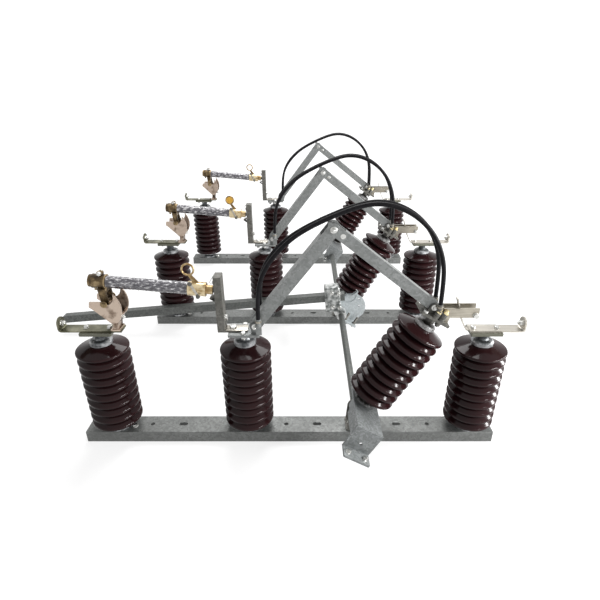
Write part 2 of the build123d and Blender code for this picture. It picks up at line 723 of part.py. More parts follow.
def clevis(y, plane, reach, inside, boss):
    """Two lugs and a pin through the plane's origin, added to the open part."""
    for side in (-1, 1):
        lug = Plane(
            origin=(plane.origin.X, y + side * (inside + CLEVIS_PLATE / 2), plane.origin.Z),
            x_dir=plane.x_dir,
            z_dir=plane.z_dir,
        )
        with BuildSketch(lug) as outline:
            Circle(boss)
            with Locations((0, -reach / 2)):
                Rectangle(2 * boss, reach)
        extrude(outline.sketch, amount=CLEVIS_PLATE / 2, both=True)
    with BuildSketch(plane) as pin:
        Circle(PIN_RADIUS)
    extrude(pin.sketch, amount=inside + CLEVIS_PLATE + 4, both=True)


def cable_lugs(x, y, aside, top, foot):
    """Crimped lugs at the ends of a pole's two cables, standing on a plate, added to the open part."""
    for side in (-1, 1):
        with BuildSketch(level_plane(x, y + side * aside, top)) as barrel:
            Circle(CABLE_RADIUS + CABLE_LUG_WALL)
        extrude(barrel.sketch, amount=-CABLE_LUG_LENGTH)
        with BuildSketch(level_plane(x, y + side * aside, top - CABLE_LUG_LENGTH / 2)) as tongue:
            Rectangle(CABLE_LUG_WIDTH, CABLE_LUG_PLATE)
        extrude(tongue.sketch, amount=foot - top + CABLE_LUG_LENGTH / 2)


def arm_clevis(y):
    """Plate on the arm post with the clevis for the lower arm."""
    left = ARM_POST_X - 56
    right = ARM_POST_X + 61
    with BuildPart() as bracket:
        with BuildSketch(level_plane((left + right) / 2, y, POST_HEIGHT)):
            RectangleRounded(right - left, TOP_PLATE_DEPTH, 4)
        extrude(amount=TOP_PLATE_THICKNESS)
        clevis(
            y,
            front_plane(ARM_PIVOT_X, y, ARM_PIVOT_Z),
            ARM_PIVOT_Z - PLATE_TOP,
            ARM_DEPTH / 2 + CLEVIS_GAP,
            CLEVIS_BOSS,
        )
        x, aside, z = LOWER_ROUTE[0]
        cable_lugs(x, y, aside, z, PLATE_TOP)
    return bracket


def link_clevises():
    """Plates on the rocking posts' caps with the clevises for the upper arms."""
    plate_top = CAP_TOP + TOP_PLATE_THICKNESS
    x, aside, z = UPPER_ROUTE[-1]
    edge = x + CABLE_LUG_WIDTH / 4
    foot_z = SHAFT_Z + (plate_top - (edge - SHAFT_X) * sin(LEAN)) / cos(LEAN)
    with BuildPart() as brackets:
        for y in POLES.values():
            pivot = leaning_front(y).to_local_coords(Vector(LINK_PIVOT_X, y, LINK_PIVOT_Z))
            with BuildSketch(leaning_plane(y, CAP_TOP)):
                RectangleRounded(LINK_PLATE_LENGTH, TOP_PLATE_DEPTH, 4)
            extrude(amount=TOP_PLATE_THICKNESS)
            clevis(
                y,
                front_plane(LINK_PIVOT_X, y, LINK_PIVOT_Z, -POST_LEAN),
                pivot.Y - plate_top,
                LINK_DEPTH / 2 + CLEVIS_GAP,
                CLEVIS_BOSS,
            )
            cable_lugs(x, y, aside, z, foot_z)
    return brackets


def moving_contacts():
    """Two copper bars on each rocking post's cap that embrace the fixed blade."""
    plane = leaning_front(0)
    top = CAP_TOP + TOP_PLATE_THICKNESS
    heel = plane.from_local_coords((CONTACT_HEEL, top, 0))
    toe = plane.from_local_coords((LINK_PLATE_LENGTH / 2 - 4, top, 0))
    half = CONTACT_HEIGHT / 2
    outline = [
        (heel.X, heel.Z),
        (toe.X, toe.Z),
        (toe.X + 6, CONTACT_Z - half),
        (CONTACT_END_X, CONTACT_Z - half),
        (CONTACT_END_X, CONTACT_Z + half),
        (heel.X + 26, CONTACT_Z + half),
    ]
    with BuildPart() as contacts:
        for y in POLES.values():
            for side in (-1, 1):
                bar_y = y + side * (CONTACT_GAP + CONTACT_PLATE) / 2
                with BuildSketch(front_plane(0, bar_y, 0)):
                    Polygon(*outline, align=None)
                extrude(amount=CONTACT_PLATE / 2, both=True)
    return contacts


# ---------------------------------------------------------------- knee arms
def arm_channel(y, start, end, width, depth, web_side, holes):
    """Channel arm with its web along one edge, cut back at both ends to leave ears on the pins."""
    run = hypot(end[0] - start[0], end[1] - start[1])
    turn = degrees(asin((end[1] - start[1]) / run))
    turn = turn if end[0] >= start[0] else 180 - turn
    plane = front_plane(start[0], y, start[1], turn)
    with BuildPart() as arm:
        with BuildSketch(plane):
            with Locations((run / 2, 0)):
                SlotCenterToCenter(run, width)
        extrude(amount=depth / 2, both=True)
        with BuildSketch(plane):
            with Locations((run / 2, -web_side * ARM_WALL)):
                Rectangle(run - 2 * width, width)
            with Locations((0, 0), (run, 0)):
                Rectangle(2 * width, width + 2)
        extrude(amount=depth / 2 - ARM_WALL, both=True, mode=Mode.SUBTRACT)
        with BuildSketch(plane):
            for place, radius in zip((0, run), holes):
                with Locations((place, 0)):
                    Circle(radius)
        extrude(amount=depth, both=True, mode=Mode.SUBTRACT)
    return arm


def lower_arm(y):
    """Arm from the arm post up to the knee, with the knee pin."""
    arm = arm_channel(
        y,
        (ARM_PIVOT_X, ARM_PIVOT_Z),
        (KNEE_X, KNEE_Z),
        ARM_WIDTH,
        ARM_DEPTH,
        1,
        (PIN_RADIUS + RUNNING_CLEARANCE, PIN_RADIUS),
    )
    with BuildPart() as whole:
        add(arm.part)
        with BuildSketch(front_plane(KNEE_X, y, KNEE_Z)):
            Circle(PIN_RADIUS)
        extrude(amount=ARM_DEPTH / 2 + 4, both=True)
        with BuildSketch(level_plane(SADDLE_X, y, SADDLE_Z)):
            Rectangle(SADDLE_SPREAD, ARM_DEPTH)
        extrude(amount=-ARM_WIDTH / 2)
        with BuildSketch(level_plane(SADDLE_X, y, SADDLE_Z - CABLE_SADDLE)):
            Rectangle(SADDLE_SPREAD, ARM_DEPTH - 2 * ARM_WALL)
        extrude(amount=-ARM_WIDTH, mode=Mode.SUBTRACT)
    return whole


def upper_arm(y):
    """Arm from the rocking post's cap up to the knee."""
    return arm_channel(
        y,
        (LINK_PIVOT_X, LINK_PIVOT_Z),
        (KNEE_X, KNEE_Z),
        LINK_WIDTH,
        LINK_DEPTH,
        -1,
        (PIN_RADIUS + RUNNING_CLEARANCE, PIN_RADIUS + KNEE_SLACK),
    )


# ---------------------------------------------------------------- fuse
def fuse_frame(y):
    """Plane along the fuse tube, with its origin where the tube starts."""
    axis = front_plane(TRUNNION_X, y, TRUNNION_Z, -FUSE_DROP)
    start = axis.from_local_coords((-HEEL_REACH, FUSE_RISE, 0))
    return front_plane(start.X, y, start.Z, -FUSE_DROP)


def along(plane, distance):
    """Plane square to a front plane's local x, at a distance along it."""
    place = plane.from_local_coords((distance, 0, 0))
    return Plane(origin=place, x_dir=(0, 1, 0), z_dir=plane.x_dir)


def fuse_tube(y):
    """Insulating tube that holds the fuse element."""
    plane = fuse_frame(y)
    with BuildPart() as tube:
        with BuildSketch(along(plane, 0)):
            Circle(FUSE_RADIUS)
            Circle(FUSE_BORE, mode=Mode.SUBTRACT)
        extrude(amount=FUSE_LENGTH)
    return tube


def fuse_heel(y):
    """Bronze clamp on the fuse's lower end, with its ears, hook, lugs and trunnion."""
    plane = fuse_frame(y)
    outer = FUSE_RADIUS + FERRULE_WALL
    axis = front_plane(TRUNNION_X, y, TRUNNION_Z, -FUSE_DROP)
    lug_reach = HINGE_WIDTH / 2 - HINGE_WALL - 5
    lug_top = FUSE_RISE - FUSE_RADIUS
    lug = [
        (-HEEL_BOSS, 0),
        (HEEL_BOSS, 0),
        (HEEL_LENGTH - HEEL_REACH, lug_top),
        (HEEL_LENGTH - HEEL_REACH - 2 * HEEL_BOSS, lug_top),
    ]
    with BuildPart() as heel:
        with BuildSketch(along(plane, -HEEL_CAP)):
            Circle(FUSE_RADIUS + 3)
        extrude(amount=HEEL_CAP)
        with BuildSketch(along(plane, 0)):
            Circle(outer)
        extrude(amount=HEEL_LENGTH)
        with BuildSketch(along(plane, HEEL_LENGTH - HEEL_RING)):
            Circle(outer + 1)
        extrude(amount=HEEL_RING)
        with BuildSketch(plane):
            with Locations((HEEL_LENGTH - EAR_LENGTH, outer + (EAR_RISE - FERRULE_WALL) / 2)):
                Rectangle(EAR_LENGTH, EAR_RISE + FERRULE_WALL)
        extrude(amount=EAR_GAP / 2 + EAR_THICKNESS, both=True)
        with BuildSketch(plane):
            with Locations((HEEL_LENGTH - EAR_LENGTH, outer + EAR_RISE / 2)):
                Rectangle(EAR_LENGTH + 2, EAR_RISE)
        extrude(amount=EAR_GAP / 2, both=True, mode=Mode.SUBTRACT)
        with BuildSketch(plane):
            with Locations((HOOK_LENGTH, (HOOK_DROP - FERRULE_WALL) / -2 - outer)):
                Rectangle(HOOK_LENGTH, HOOK_DROP + FERRULE_WALL)
        extrude(amount=HOOK_LENGTH / 2, both=True)
        with BuildSketch(axis):
            Circle(HEEL_BOSS)
            Polygon(*lug, align=None)
        extrude(amount=lug_reach, both=True)
        with BuildSketch(axis):
            with Locations((0, (FUSE_RISE - outer) / 2 - outer)):
                Rectangle(2 * HEEL_LENGTH, FUSE_RISE + outer - 2 * HOOK_DROP)
        extrude(amount=lug_reach - HEEL_LUG, both=True, mode=Mode.SUBTRACT)
        with BuildSketch(axis):
            Circle(TRUNNION_RADIUS)
        extrude(amount=HINGE_WIDTH / 2 + 5, both=True)
        with BuildSketch(along(plane, 0)):
            Circle(FUSE_RADIUS)
        extrude(amount=HEEL_LENGTH, mode=Mode.SUBTRACT)
    return heel


def fuse_head(y):
    """Bronze ferrule on the fuse's upper end, with its nose and pull ring."""
    plane = fuse_frame(y)
    outer = FUSE_RADIUS + FERRULE_WALL
    middle = FUSE_LENGTH - HEAD_LENGTH / 2
    ring_x = middle - RING_SETBACK
    ring_at = plane.from_local_coords((ring_x, outer + RING_SHANK + RING_RADIUS, 0))
    shank = [
        (middle - 3 * RING_WIRE, outer - RING_WIRE),
        (middle + 3 * RING_WIRE, outer - RING_WIRE),
        (ring_x + 3 * RING_WIRE, outer + RING_SHANK + RING_WIRE),
        (ring_x, outer + RING_SHANK + RING_WIRE / 2),
    ]
    with BuildPart() as head:
        with BuildSketch(along(plane, FUSE_LENGTH - HEAD_LENGTH)):
            Circle(outer)
        extrude(amount=HEAD_LENGTH + FERRULE_WALL)
        with BuildSketch(along(plane, FUSE_LENGTH + FERRULE_WALL)):
            Circle(NOSE_RADIUS)
        extrude(amount=NOSE_LENGTH)
        with BuildSketch(front_plane(plane.origin.X, y, plane.origin.Z, -FUSE_DROP)):
            Polygon(*shank, align=None)
        extrude(amount=RING_WIRE, both=True)
        with BuildSketch(Plane(origin=ring_at, x_dir=(1, 0, 0), z_dir=(0, 0, 1))):
            with Locations((RING_RADIUS, 0)):
                Circle(RING_WIRE)
        revolve(axis=Axis(ring_at, (0, 1, 0)))
        with BuildSketch(along(plane, FUSE_LENGTH - HEAD_LENGTH)):
            Circle(FUSE_RADIUS)
        extrude(amount=HEAD_LENGTH, mode=Mode.SUBTRACT)
    return head


# ---------------------------------------------------------------- jumper cables
def cable_path(points):
    """Straight runs joined by arcs, each arc as large as its two runs allow."""
    radii = []
    for before, corner, after in zip(points, points[1:], points[2:]):
        run_in = Vector(corner) - Vector(before)
        run_out = Vector(after) - Vector(corner)
        half_turn = radians(run_in.get_angle(run_out)) / 2
        radii.append(0.45 * min(run_in.length, run_out.length) / tan(half_turn))
    return FilletPolyline(*points, radius=radii), radii


def cable_pair(name, y, route):
    """Two cables side by side along a route of (x, distance from the pole's centre, z) points."""
    with BuildPart() as pair:
        for side in (-1, 1):
            points = [(x, y + side * aside, z) for x, aside, z in route]
            with BuildLine():
                path, radii = cable_path(points)
            with BuildSketch(Plane(origin=path @ 0, z_dir=path % 0)):
                Circle(CABLE_RADIUS)
            sweep(path=path)
        print(name, "radii", [round(radius) for radius in radii], "length", round(path.length))
        drawn = pair.part.volume / (2 * pi * CABLE_RADIUS**2 * path.length)
        print(name, "volume over section times length", round(drawn, 4))
    return pair


# ---------------------------------------------------------------- build every piece
save(gang_shaft(), "gang_shaft")
save(bearing_stands(), "bearing_stands")
save(operating_lever(), "operating_lever")
save(lever_hub(), "lever_hub")
save(hub_plate(), "hub_plate")
save(fixed_fittings(), "fixed_fittings")
save(rocking_insulators(), "rocking_insulators")
save(rocking_fittings(), "rocking_fittings")
save(link_clevises(), "link_clevises")
save(moving_contacts(), "moving_contacts")
for pole, pole_y in POLES.items():
    save(base_channel(pole_y), f"base_channel_{pole}")
    save(fixed_insulators(pole_y), f"fixed_insulators_{pole}")
    save(fuse_terminal(pole_y), f"fuse_terminal_{pole}")
    save(fuse_hinge(pole_y), f"fuse_hinge_{pole}")
    save(latch_upright(pole_y), f"latch_upright_{pole}")
    save(arm_clevis(pole_y), f"arm_clevis_{pole}")
    save(jaw_contact(pole_y), f"jaw_contact_{pole}")
    save(post_seat(pole_y, pole != "middle", pole == "rear"), f"post_seat_{pole}")
    save(lower_arm(pole_y), f"lower_arm_{pole}")
    save(upper_arm(pole_y), f"upper_arm_{pole}")
    save(fuse_tube(pole_y), f"fuse_tube_{pole}")
    save(fuse_heel(pole_y), f"fuse_heel_{pole}")
    save(fuse_head(pole_y), f"fuse_head_{pole}")
    save(cable_pair("lower cables", pole_y, LOWER_ROUTE), f"lower_cables_{pole}")
    save(cable_pair("upper cables", pole_y, UPPER_ROUTE), f"upper_cables_{pole}")
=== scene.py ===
# %% [markdown]
# # A three-pole disconnect switch with fuses
#
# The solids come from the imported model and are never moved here. This lesson gives them their finishes,
# adds the small hardware that a fitter would bolt on, lays the jumper cables, and sets up a plain studio.
# Every length below is in metres. X runs along a pole, Y along the gang shaft and Z up.

# %% Load the frame
import math
import random

import bmesh
import bpy
from mathutils import Matrix, Vector, noise


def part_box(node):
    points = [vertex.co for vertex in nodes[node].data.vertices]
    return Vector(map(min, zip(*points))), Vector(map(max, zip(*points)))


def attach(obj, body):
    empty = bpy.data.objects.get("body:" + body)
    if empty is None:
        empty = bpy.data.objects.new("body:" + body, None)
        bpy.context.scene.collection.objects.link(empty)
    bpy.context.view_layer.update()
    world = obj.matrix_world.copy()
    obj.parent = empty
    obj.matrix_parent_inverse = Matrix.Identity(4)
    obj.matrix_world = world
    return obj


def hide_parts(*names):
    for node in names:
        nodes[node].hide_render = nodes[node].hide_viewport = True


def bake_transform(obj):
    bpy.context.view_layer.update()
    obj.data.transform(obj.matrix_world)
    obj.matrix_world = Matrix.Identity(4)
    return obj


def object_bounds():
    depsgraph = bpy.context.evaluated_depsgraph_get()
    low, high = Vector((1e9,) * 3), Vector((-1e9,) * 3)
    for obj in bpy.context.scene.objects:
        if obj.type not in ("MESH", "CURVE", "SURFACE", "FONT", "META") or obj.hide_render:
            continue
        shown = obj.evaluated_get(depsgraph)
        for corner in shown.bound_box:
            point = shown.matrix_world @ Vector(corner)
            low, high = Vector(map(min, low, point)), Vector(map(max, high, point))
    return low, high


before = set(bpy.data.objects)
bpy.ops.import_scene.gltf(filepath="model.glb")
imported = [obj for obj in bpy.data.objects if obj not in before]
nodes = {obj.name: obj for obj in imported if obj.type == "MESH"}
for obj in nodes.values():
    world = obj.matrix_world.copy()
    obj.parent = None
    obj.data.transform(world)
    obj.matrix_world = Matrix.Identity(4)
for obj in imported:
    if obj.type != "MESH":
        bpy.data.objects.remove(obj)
cad_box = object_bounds()
print(len(nodes), "solids, box", cad_box)

# %% [markdown]
# ## Where things are
#
# The poles' places are read from their channels' boxes. The posts, the pins, the shaft's axis and the lean
# of the rocking posts are design values, the same as in the solids.

# %% Places
POLES = {}
for pole in ("front", "middle", "rear"):
    low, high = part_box(f"base_channel_{pole}")
    POLES[pole] = (low[1] + high[1]) / 2
FUSE_POST_X = -0.715
ARM_POST_X = -0.165
JAW_POST_X = 0.740
SHAFT_X = 0.275
SHAFT_Z = 0.070
LEAN = math.radians(30)
# The height of the fixed posts' plates, and how far up a rocking post its cap ends.
PLATE_TOP = 0.460
CAP_TOP = 0.518
# Pins, along the pole and up.
TRUNNION = (-0.655, 0.584)
ARM_PIVOT = (-0.120, 0.488)
KNEE = (0.160, 0.855)
LINK_PIVOT = (0.534, 0.563)
print("poles at", POLES)

# %% [markdown]
# ## Directions
#
# The rocking posts lean, so a place on one is easier to give in the post's own directions: to its right, up
# along it and towards the front.

# %% Directions
UP = Vector((0, 0, 1))
DOWN = -UP
ALONG = Vector((1, 0, 0))
REAR = Vector((0, 1, 0))
FRONT = -REAR
LEAN_UP = Vector((math.sin(LEAN), 0, math.cos(LEAN)))
LEAN_SIDE = Vector((math.cos(LEAN), 0, -math.sin(LEAN)))


def leaning(pole_y, side, height, forward=0.0):
    """Point of a rocking post, from the shaft's axis: to its right, up along it, and towards the front."""
    return Vector((SHAFT_X, pole_y - forward, SHAFT_Z)) + side * LEAN_SIDE + height * LEAN_UP


def facing(origin, z_axis, x_hint=None):
    """Matrix that stands at origin and looks along z_axis, turned so that its x is near x_hint."""
    z = Vector(z_axis).normalized()
    hint = Vector(x_hint) if x_hint is not None else (ALONG if abs(z.x) < 0.9 else REAR)
    x = (hint - hint.dot(z) * z).normalized()
    y = z.cross(x)
    turn = Matrix((x, y, z)).transposed().to_4x4()
    return Matrix.Translation(origin) @ turn


print("rocking posts lean", round(math.degrees(LEAN)), "degrees")

# %% [markdown]
# ## Camera
#
# The camera is about 1.4 m above the floor in front of the front pole. It looks down on the switch, so it is
# pitched down and not turned. Its lens is moderately wide, and a small shift keeps the framing.

# %% Camera
EYE = (0.064, -2.479, 1.314)
LOOKING_DOWN = 26.3
# A share of the picture's width.
LENS_SHIFT = -1 / 120
camera_data = bpy.data.cameras.new("camera")
camera_data.lens = 27.12
camera_data.sensor_width = 36.0
camera_data.shift_x = LENS_SHIFT
camera_data.clip_end = 60
camera = bpy.data.objects.new("camera", camera_data)
bpy.context.scene.collection.objects.link(camera)
camera.location = EYE
camera.rotation_euler = (math.radians(90 - LOOKING_DOWN), 0, 0)
bpy.context.scene.camera = camera
bpy.context.scene.view_settings.view_transform = "Standard"
print("camera at", tuple(camera.location))

# %% [markdown]
# ## Node helpers
#
# Every finish is a small tree of shader nodes that reads Object coordinates. A piece's object sits at the
# origin, so the pattern has its real scale and rides with the piece. A helper that adds a node and sets its
# sockets by name keeps the trees short.

# %% Node helpers


def node(tree, kind, links=None, **values):
    """Add a shader node, set its own properties or its sockets, and link what is given as sockets."""
    made = tree.nodes.new("ShaderNode" + kind)
    for key, value in values.items():
        if hasattr(made, key):
            setattr(made, key, value)
        else:
            made.inputs[key.replace("_", " ").title()].default_value = value
    for name, source in (links or {}).items():
        tree.links.new(source, made.inputs[name])
    return made


def ramp(tree, source, *stops):
    """Colour ramp from (place, colour) stops."""
    made = tree.nodes.new("ShaderNodeValToRGB")
    while len(made.color_ramp.elements) < len(stops):
        made.color_ramp.elements.new(0.5)
    for element, (place, tone) in zip(made.color_ramp.elements, stops):
        element.position = place
        element.color = (*tone, 1)
    tree.links.new(source, made.inputs["Fac"])
    return made.outputs["Color"]


def scale_range(tree, source, low, high):
    """Turn a 0 to 1 value into one from low to high."""
    return node(tree, "MapRange", {"Value": source}, to_min=low, to_max=high).outputs["Result"]


def noise_of(tree, coords, scale, detail=4.0, stretch=None):
    """Value noise at a scale in cells a metre, drawn out along an axis by stretch."""
    if stretch is not None:
        coords = node(tree, "Mapping", {"Vector": coords}, scale=stretch).outputs["Vector"]
    return node(tree, "TexNoise", {"Vector": coords}, scale=scale, detail=detail).outputs["Fac"]


print("node helpers are ready")

# %% [markdown]
# ## Finish helpers
#
# A finish is a material with one Principled shader. Its colour, its roughness and its relief can each be
# driven by a pattern, and three small functions plug those patterns in.

# %% Finish helpers


def finish(name, metallic=0.0, coat=0.0, coat_roughness=0.05):
    """Empty finish: its material, its tree, its shader and its Object coordinates."""
    made = bpy.data.materials.new(name)
    made.use_nodes = True
    tree = made.node_tree
    tree.nodes.clear()
    shader = node(tree, "BsdfPrincipled", metallic=metallic, coat_weight=coat, coat_roughness=coat_roughness)
    node(tree, "OutputMaterial", {"Surface": shader.outputs["BSDF"]})
    coords = node(tree, "TexCoord").outputs["Object"]
    return made, tree, shader, coords


def colour(tree, shader, source):
    """Drive the shader's colour by a pattern."""
    tree.links.new(source, shader.inputs["Base Color"])


def roughness(tree, shader, source, low, high):
    """Drive the shader's roughness by a pattern, from low to high."""
    tree.links.new(scale_range(tree, source, low, high), shader.inputs["Roughness"])


def bump(tree, shader, height, distance, strength=0.5, under=None):
    """Raise the surface by a height field, distance metres deep, over the relief under it."""
    made = node(tree, "Bump", {"Height": height}, strength=strength, distance=distance)
    if under is not None:
        tree.links.new(under, made.inputs["Normal"])
    tree.links.new(made.outputs["Normal"], shader.inputs["Normal"])
    return made.outputs["Normal"]


print("finish helpers are ready")

# %% [markdown]
# ## Porcelain
#
# The posts are brown-glazed porcelain. One glossy brown would look like plastic. Glaze is a clear glass
# layer on a dark body, so a coat lies over a deep maroon base. The rims are painted a redder brown, a
# painted highlight where they catch the light, and the glaze has a faint orange-peel ripple.

# %% Porcelain
DEEP_GLAZE = (0.0070, 0.0044, 0.0046)
BROWN_GLAZE = (0.0165, 0.0058, 0.0064)
# The rims' paler, redder brown is a painted highlight where the sheds' lips catch the light.
RIM_HIGHLIGHT = (0.030, 0.0095, 0.0105, 1)
porcelain, tree, shader, coords = finish("brown_glaze", coat=0.15, coat_roughness=0.03)
shader.inputs["Specular IOR Level"].default_value = 0.08
edge = node(tree, "NewGeometry").outputs["Pointiness"]
# Sharp rims, found by pointiness, take the painted highlight colour.
rim_highlight = ramp(tree, edge, (0.47, (0.0, 0.0, 0.0)), (0.56, (1.0, 1.0, 1.0)))
body_glaze = ramp(tree, noise_of(tree, coords, scale=9, detail=5), (0.3, DEEP_GLAZE), (0.7, BROWN_GLAZE))
glaze = node(tree, "MixRGB", {"Fac": rim_highlight, "Color1": body_glaze}, color2=RIM_HIGHLIGHT)
colour(tree, shader, glaze.outputs["Color"])
roughness(tree, shader, noise_of(tree, coords, scale=25), 0.10, 0.22)
bump(tree, shader, noise_of(tree, coords, scale=160, detail=2), distance=0.0006, strength=0.25)
print("glaze:", porcelain.name, len(tree.nodes), "nodes")

# %% [markdown]
# ## Hot-dip galvanised steel
#
# Zinc freezes on rolled steel in crystals several millimetres across, each of its own grey. A painted
# picture of them would need every piece laid out flat, and a pattern in space does not. So a Voronoi pattern
# gives the crystals, a little noise makes their borders wander, and broad noise gives the dull white bloom.

# %% Galvanised steel
BORDER_WANDER = 0.03
BLOOM_FLOOR = 0.12


def galvanised(name, dark, light, crystal, rough=(0.36, 0.55)):
    """Zinc-coated steel between two greys, with crystals of a size in cells a metre."""
    made, tree, shader, coords = finish(name, metallic=0.4)
    warp = node(tree, "TexNoise", {"Vector": coords}, scale=30).outputs["Color"]
    bent = node(tree, "MixRGB", {"Color1": coords, "Color2": warp}, fac=BORDER_WANDER)
    cells = node(tree, "TexVoronoi", {"Vector": bent.outputs["Color"]}, scale=crystal)
    tone = node(tree, "SeparateColor", {"Color": cells.outputs["Color"]}).outputs["Red"]
    bloom = noise_of(tree, coords, scale=7, detail=6)
    mix = node(tree, "Math", {0: tone, 1: bloom}, operation="MULTIPLY_ADD")
    mix.inputs[2].default_value = BLOOM_FLOOR
    colour(tree, shader, ramp(tree, mix.outputs["Value"], (0.05, dark), (0.75, light)))
    roughness(tree, shader, mix.outputs["Value"], rough[1], rough[0])
    bump(tree, shader, noise_of(tree, coords, scale=240, detail=3), distance=0.0004, strength=0.3)
    return made


rolled_steel = galvanised("galvanised_rolled", (0.185, 0.194, 0.19), (0.305, 0.315, 0.31), 130)
channel_steel = galvanised("galvanised_channel", (0.125, 0.13, 0.125), (0.215, 0.222, 0.215), 130)
tube_steel = galvanised("galvanised_tube", (0.075, 0.08, 0.075), (0.145, 0.152, 0.145), 150)
plate_steel = galvanised("galvanised_plate", (0.35, 0.385, 0.395), (0.52, 0.555, 0.565), 160)
seat_steel = galvanised("galvanised_seat", (0.165, 0.175, 0.175), (0.30, 0.315, 0.315), 130)
dark_steel = galvanised("galvanised_dull", (0.10, 0.10, 0.088), (0.195, 0.187, 0.17), 120, (0.4, 0.65))
zinc_coated = (rolled_steel, channel_steel, tube_steel, plate_steel, seat_steel, dark_steel)
print("galvanised:", [made.name for made in zinc_coated])

# %% [markdown]
# ## Castings
#
# The hub and the caps are cast iron dipped in zinc: no crystals, but the grain of the sand mould, with
# darker hollows. The hinge and the fuse's ends are cast bronze, warm and tarnished brown in the hollows.
# Dents cut in the mesh would cost many faces, so they are relief in the finish. One function makes all the
# castings, from three tones: the hollows', the faces' and a paler one on sharp edges, a painted highlight.

# %% Castings


def casting(name, hollows, faces, edges, metallic, rough, patch=45):
    """Sand-cast metal: three tones of tarnish and painted edge highlight, mould grain and soft dents."""
    made, tree, shader, coords = finish(name, metallic=metallic)
    tarnish = noise_of(tree, coords, scale=patch, detail=8)
    # Pointiness darkens the hollows and paints a highlight on the sharp edges.
    edge = node(tree, "NewGeometry").outputs["Pointiness"]
    hollows_and_edge_highlight = scale_range(tree, edge, -1.0, 1.0)
    both = node(tree, "Math", {0: tarnish, 1: hollows_and_edge_highlight}, operation="ADD").outputs["Value"]
    colour(tree, shader, ramp(tree, both, (0.34, hollows), (0.52, faces), (0.72, edges)))
    roughness(tree, shader, tarnish, rough[1], rough[0])
    dents = bump(tree, shader, noise_of(tree, coords, scale=60, detail=2), distance=0.0016, strength=0.3)
    bump(tree, shader, noise_of(tree, coords, scale=420, detail=6), distance=0.0007, under=dents)
    return made


# The last tone of each casting is the painted highlight on its sharp edges.
fixed_zinc = casting(
    "cast_iron_caps", (0.045, 0.048, 0.05), (0.12, 0.127, 0.132), (0.46, 0.47, 0.48), 0.6, (0.26, 0.48)
)
hub_zinc = casting(
    "hub_cast_zinc", (0.05, 0.055, 0.052), (0.17, 0.18, 0.175), (0.58, 0.59, 0.58), 0.6, (0.28, 0.5)
)
rocking_zinc = casting(
    "weathered_caps", (0.03, 0.029, 0.026), (0.085, 0.08, 0.074), (0.38, 0.38, 0.38), 0.6, (0.3, 0.5)
)
hinge_bronze = casting(
    "hinge_bronze",
    (0.04, 0.025, 0.013),
    (0.13, 0.082, 0.052),
    (0.56, 0.45, 0.365),
    0.7,
    (0.22, 0.42),
    patch=32,
)
heel_bronze = casting(
    "heel_bronze", (0.035, 0.023, 0.011), (0.12, 0.08, 0.036), (0.38, 0.28, 0.15), 0.6, (0.26, 0.48)
)
pale_bronze = casting(
    "machined_bronze", (0.17, 0.10, 0.035), (0.38, 0.26, 0.12), (0.72, 0.60, 0.38), 0.75, (0.22, 0.42)
)
print("cast iron:", fixed_zinc.name, hub_zinc.name, rocking_zinc.name)
print("cast bronze:", hinge_bronze.name, heel_bronze.name, pale_bronze.name)

# %% [markdown]
# The plates on the fixed caps are rolled steel that has gone olive, though cap and plate are one solid.
# Object coordinates tell them apart: what lies above the cap's top is plate, so the finish changes at that
# height.

# %% Olive plates on the fixed caps
# A plate's thickness, and a hair more, so that its whole edge is olive.
PLATE_DEPTH = 0.0102
OLIVE = (0.135, 0.135, 0.105, 1)
tree = fixed_zinc.node_tree
shader = tree.nodes["Principled BSDF"]
cast_colour = shader.inputs["Base Color"].links[0].from_socket
height = node(tree, "SeparateXYZ", {"Vector": node(tree, "TexCoord").outputs["Object"]}).outputs["Z"]
above = node(tree, "Math", {0: height}, operation="GREATER_THAN")
above.inputs[1].default_value = PLATE_TOP - PLATE_DEPTH
olive = node(tree, "MixRGB", {"Fac": above.outputs["Value"], "Color1": cast_colour}, color2=OLIVE)
colour(tree, shader, olive.outputs["Color"])
print("plates turn olive above", round(above.inputs[1].default_value, 4))

# %% [markdown]
# ## Tinned copper
#
# Current-carrying straps are copper with a tin coat: soft silver with a straw-coloured cast, brushed along
# the strap, and duller where hands have been. Anisotropy could give the brushing, but noise drawn out along
# the strap also shows in its colour. The fuse posts' straps are older, and stained olive.

# %% Tinned copper
ALONG_STRAP = (0.15, 6, 6)
tinned, tree, shader, coords = finish("tinned_copper", metallic=0.95)
brushed = noise_of(tree, coords, scale=60, detail=6, stretch=ALONG_STRAP)
hands = noise_of(tree, coords, scale=18)
both = node(tree, "Math", {0: brushed, 1: hands}, operation="MULTIPLY_ADD")
both.inputs[2].default_value = 0.2
colour(tree, shader, ramp(tree, both.outputs["Value"], (0.3, (0.20, 0.18, 0.15)), (0.65, (0.46, 0.43, 0.36))))
roughness(tree, shader, brushed, 0.24, 0.42)
bump(tree, shader, brushed, distance=0.0003, strength=0.2)

pale_tin, tree, shader, coords = finish("fresh_tin", metallic=0.7)
brushed = noise_of(tree, coords, scale=60, detail=6, stretch=ALONG_STRAP)
colour(tree, shader, ramp(tree, brushed, (0.3, (0.37, 0.345, 0.30)), (0.7, (0.60, 0.57, 0.51))))
roughness(tree, shader, brushed, 0.24, 0.42)
bump(tree, shader, brushed, distance=0.0003, strength=0.2)

STAINED = ((0.32, (0.07, 0.07, 0.042)), (0.52, (0.145, 0.14, 0.095)), (0.72, (0.27, 0.262, 0.19)))
strap, tree, shader, coords = finish("tarnished_strap", metallic=0.85)
stain = noise_of(tree, coords, scale=24, detail=8)
colour(tree, shader, ramp(tree, stain, *STAINED))
roughness(tree, shader, stain, 0.5, 0.3)
bump(tree, shader, noise_of(tree, coords, scale=130), distance=0.0004, strength=0.25)
print("straps:", tinned.name, pale_tin.name, strap.name)

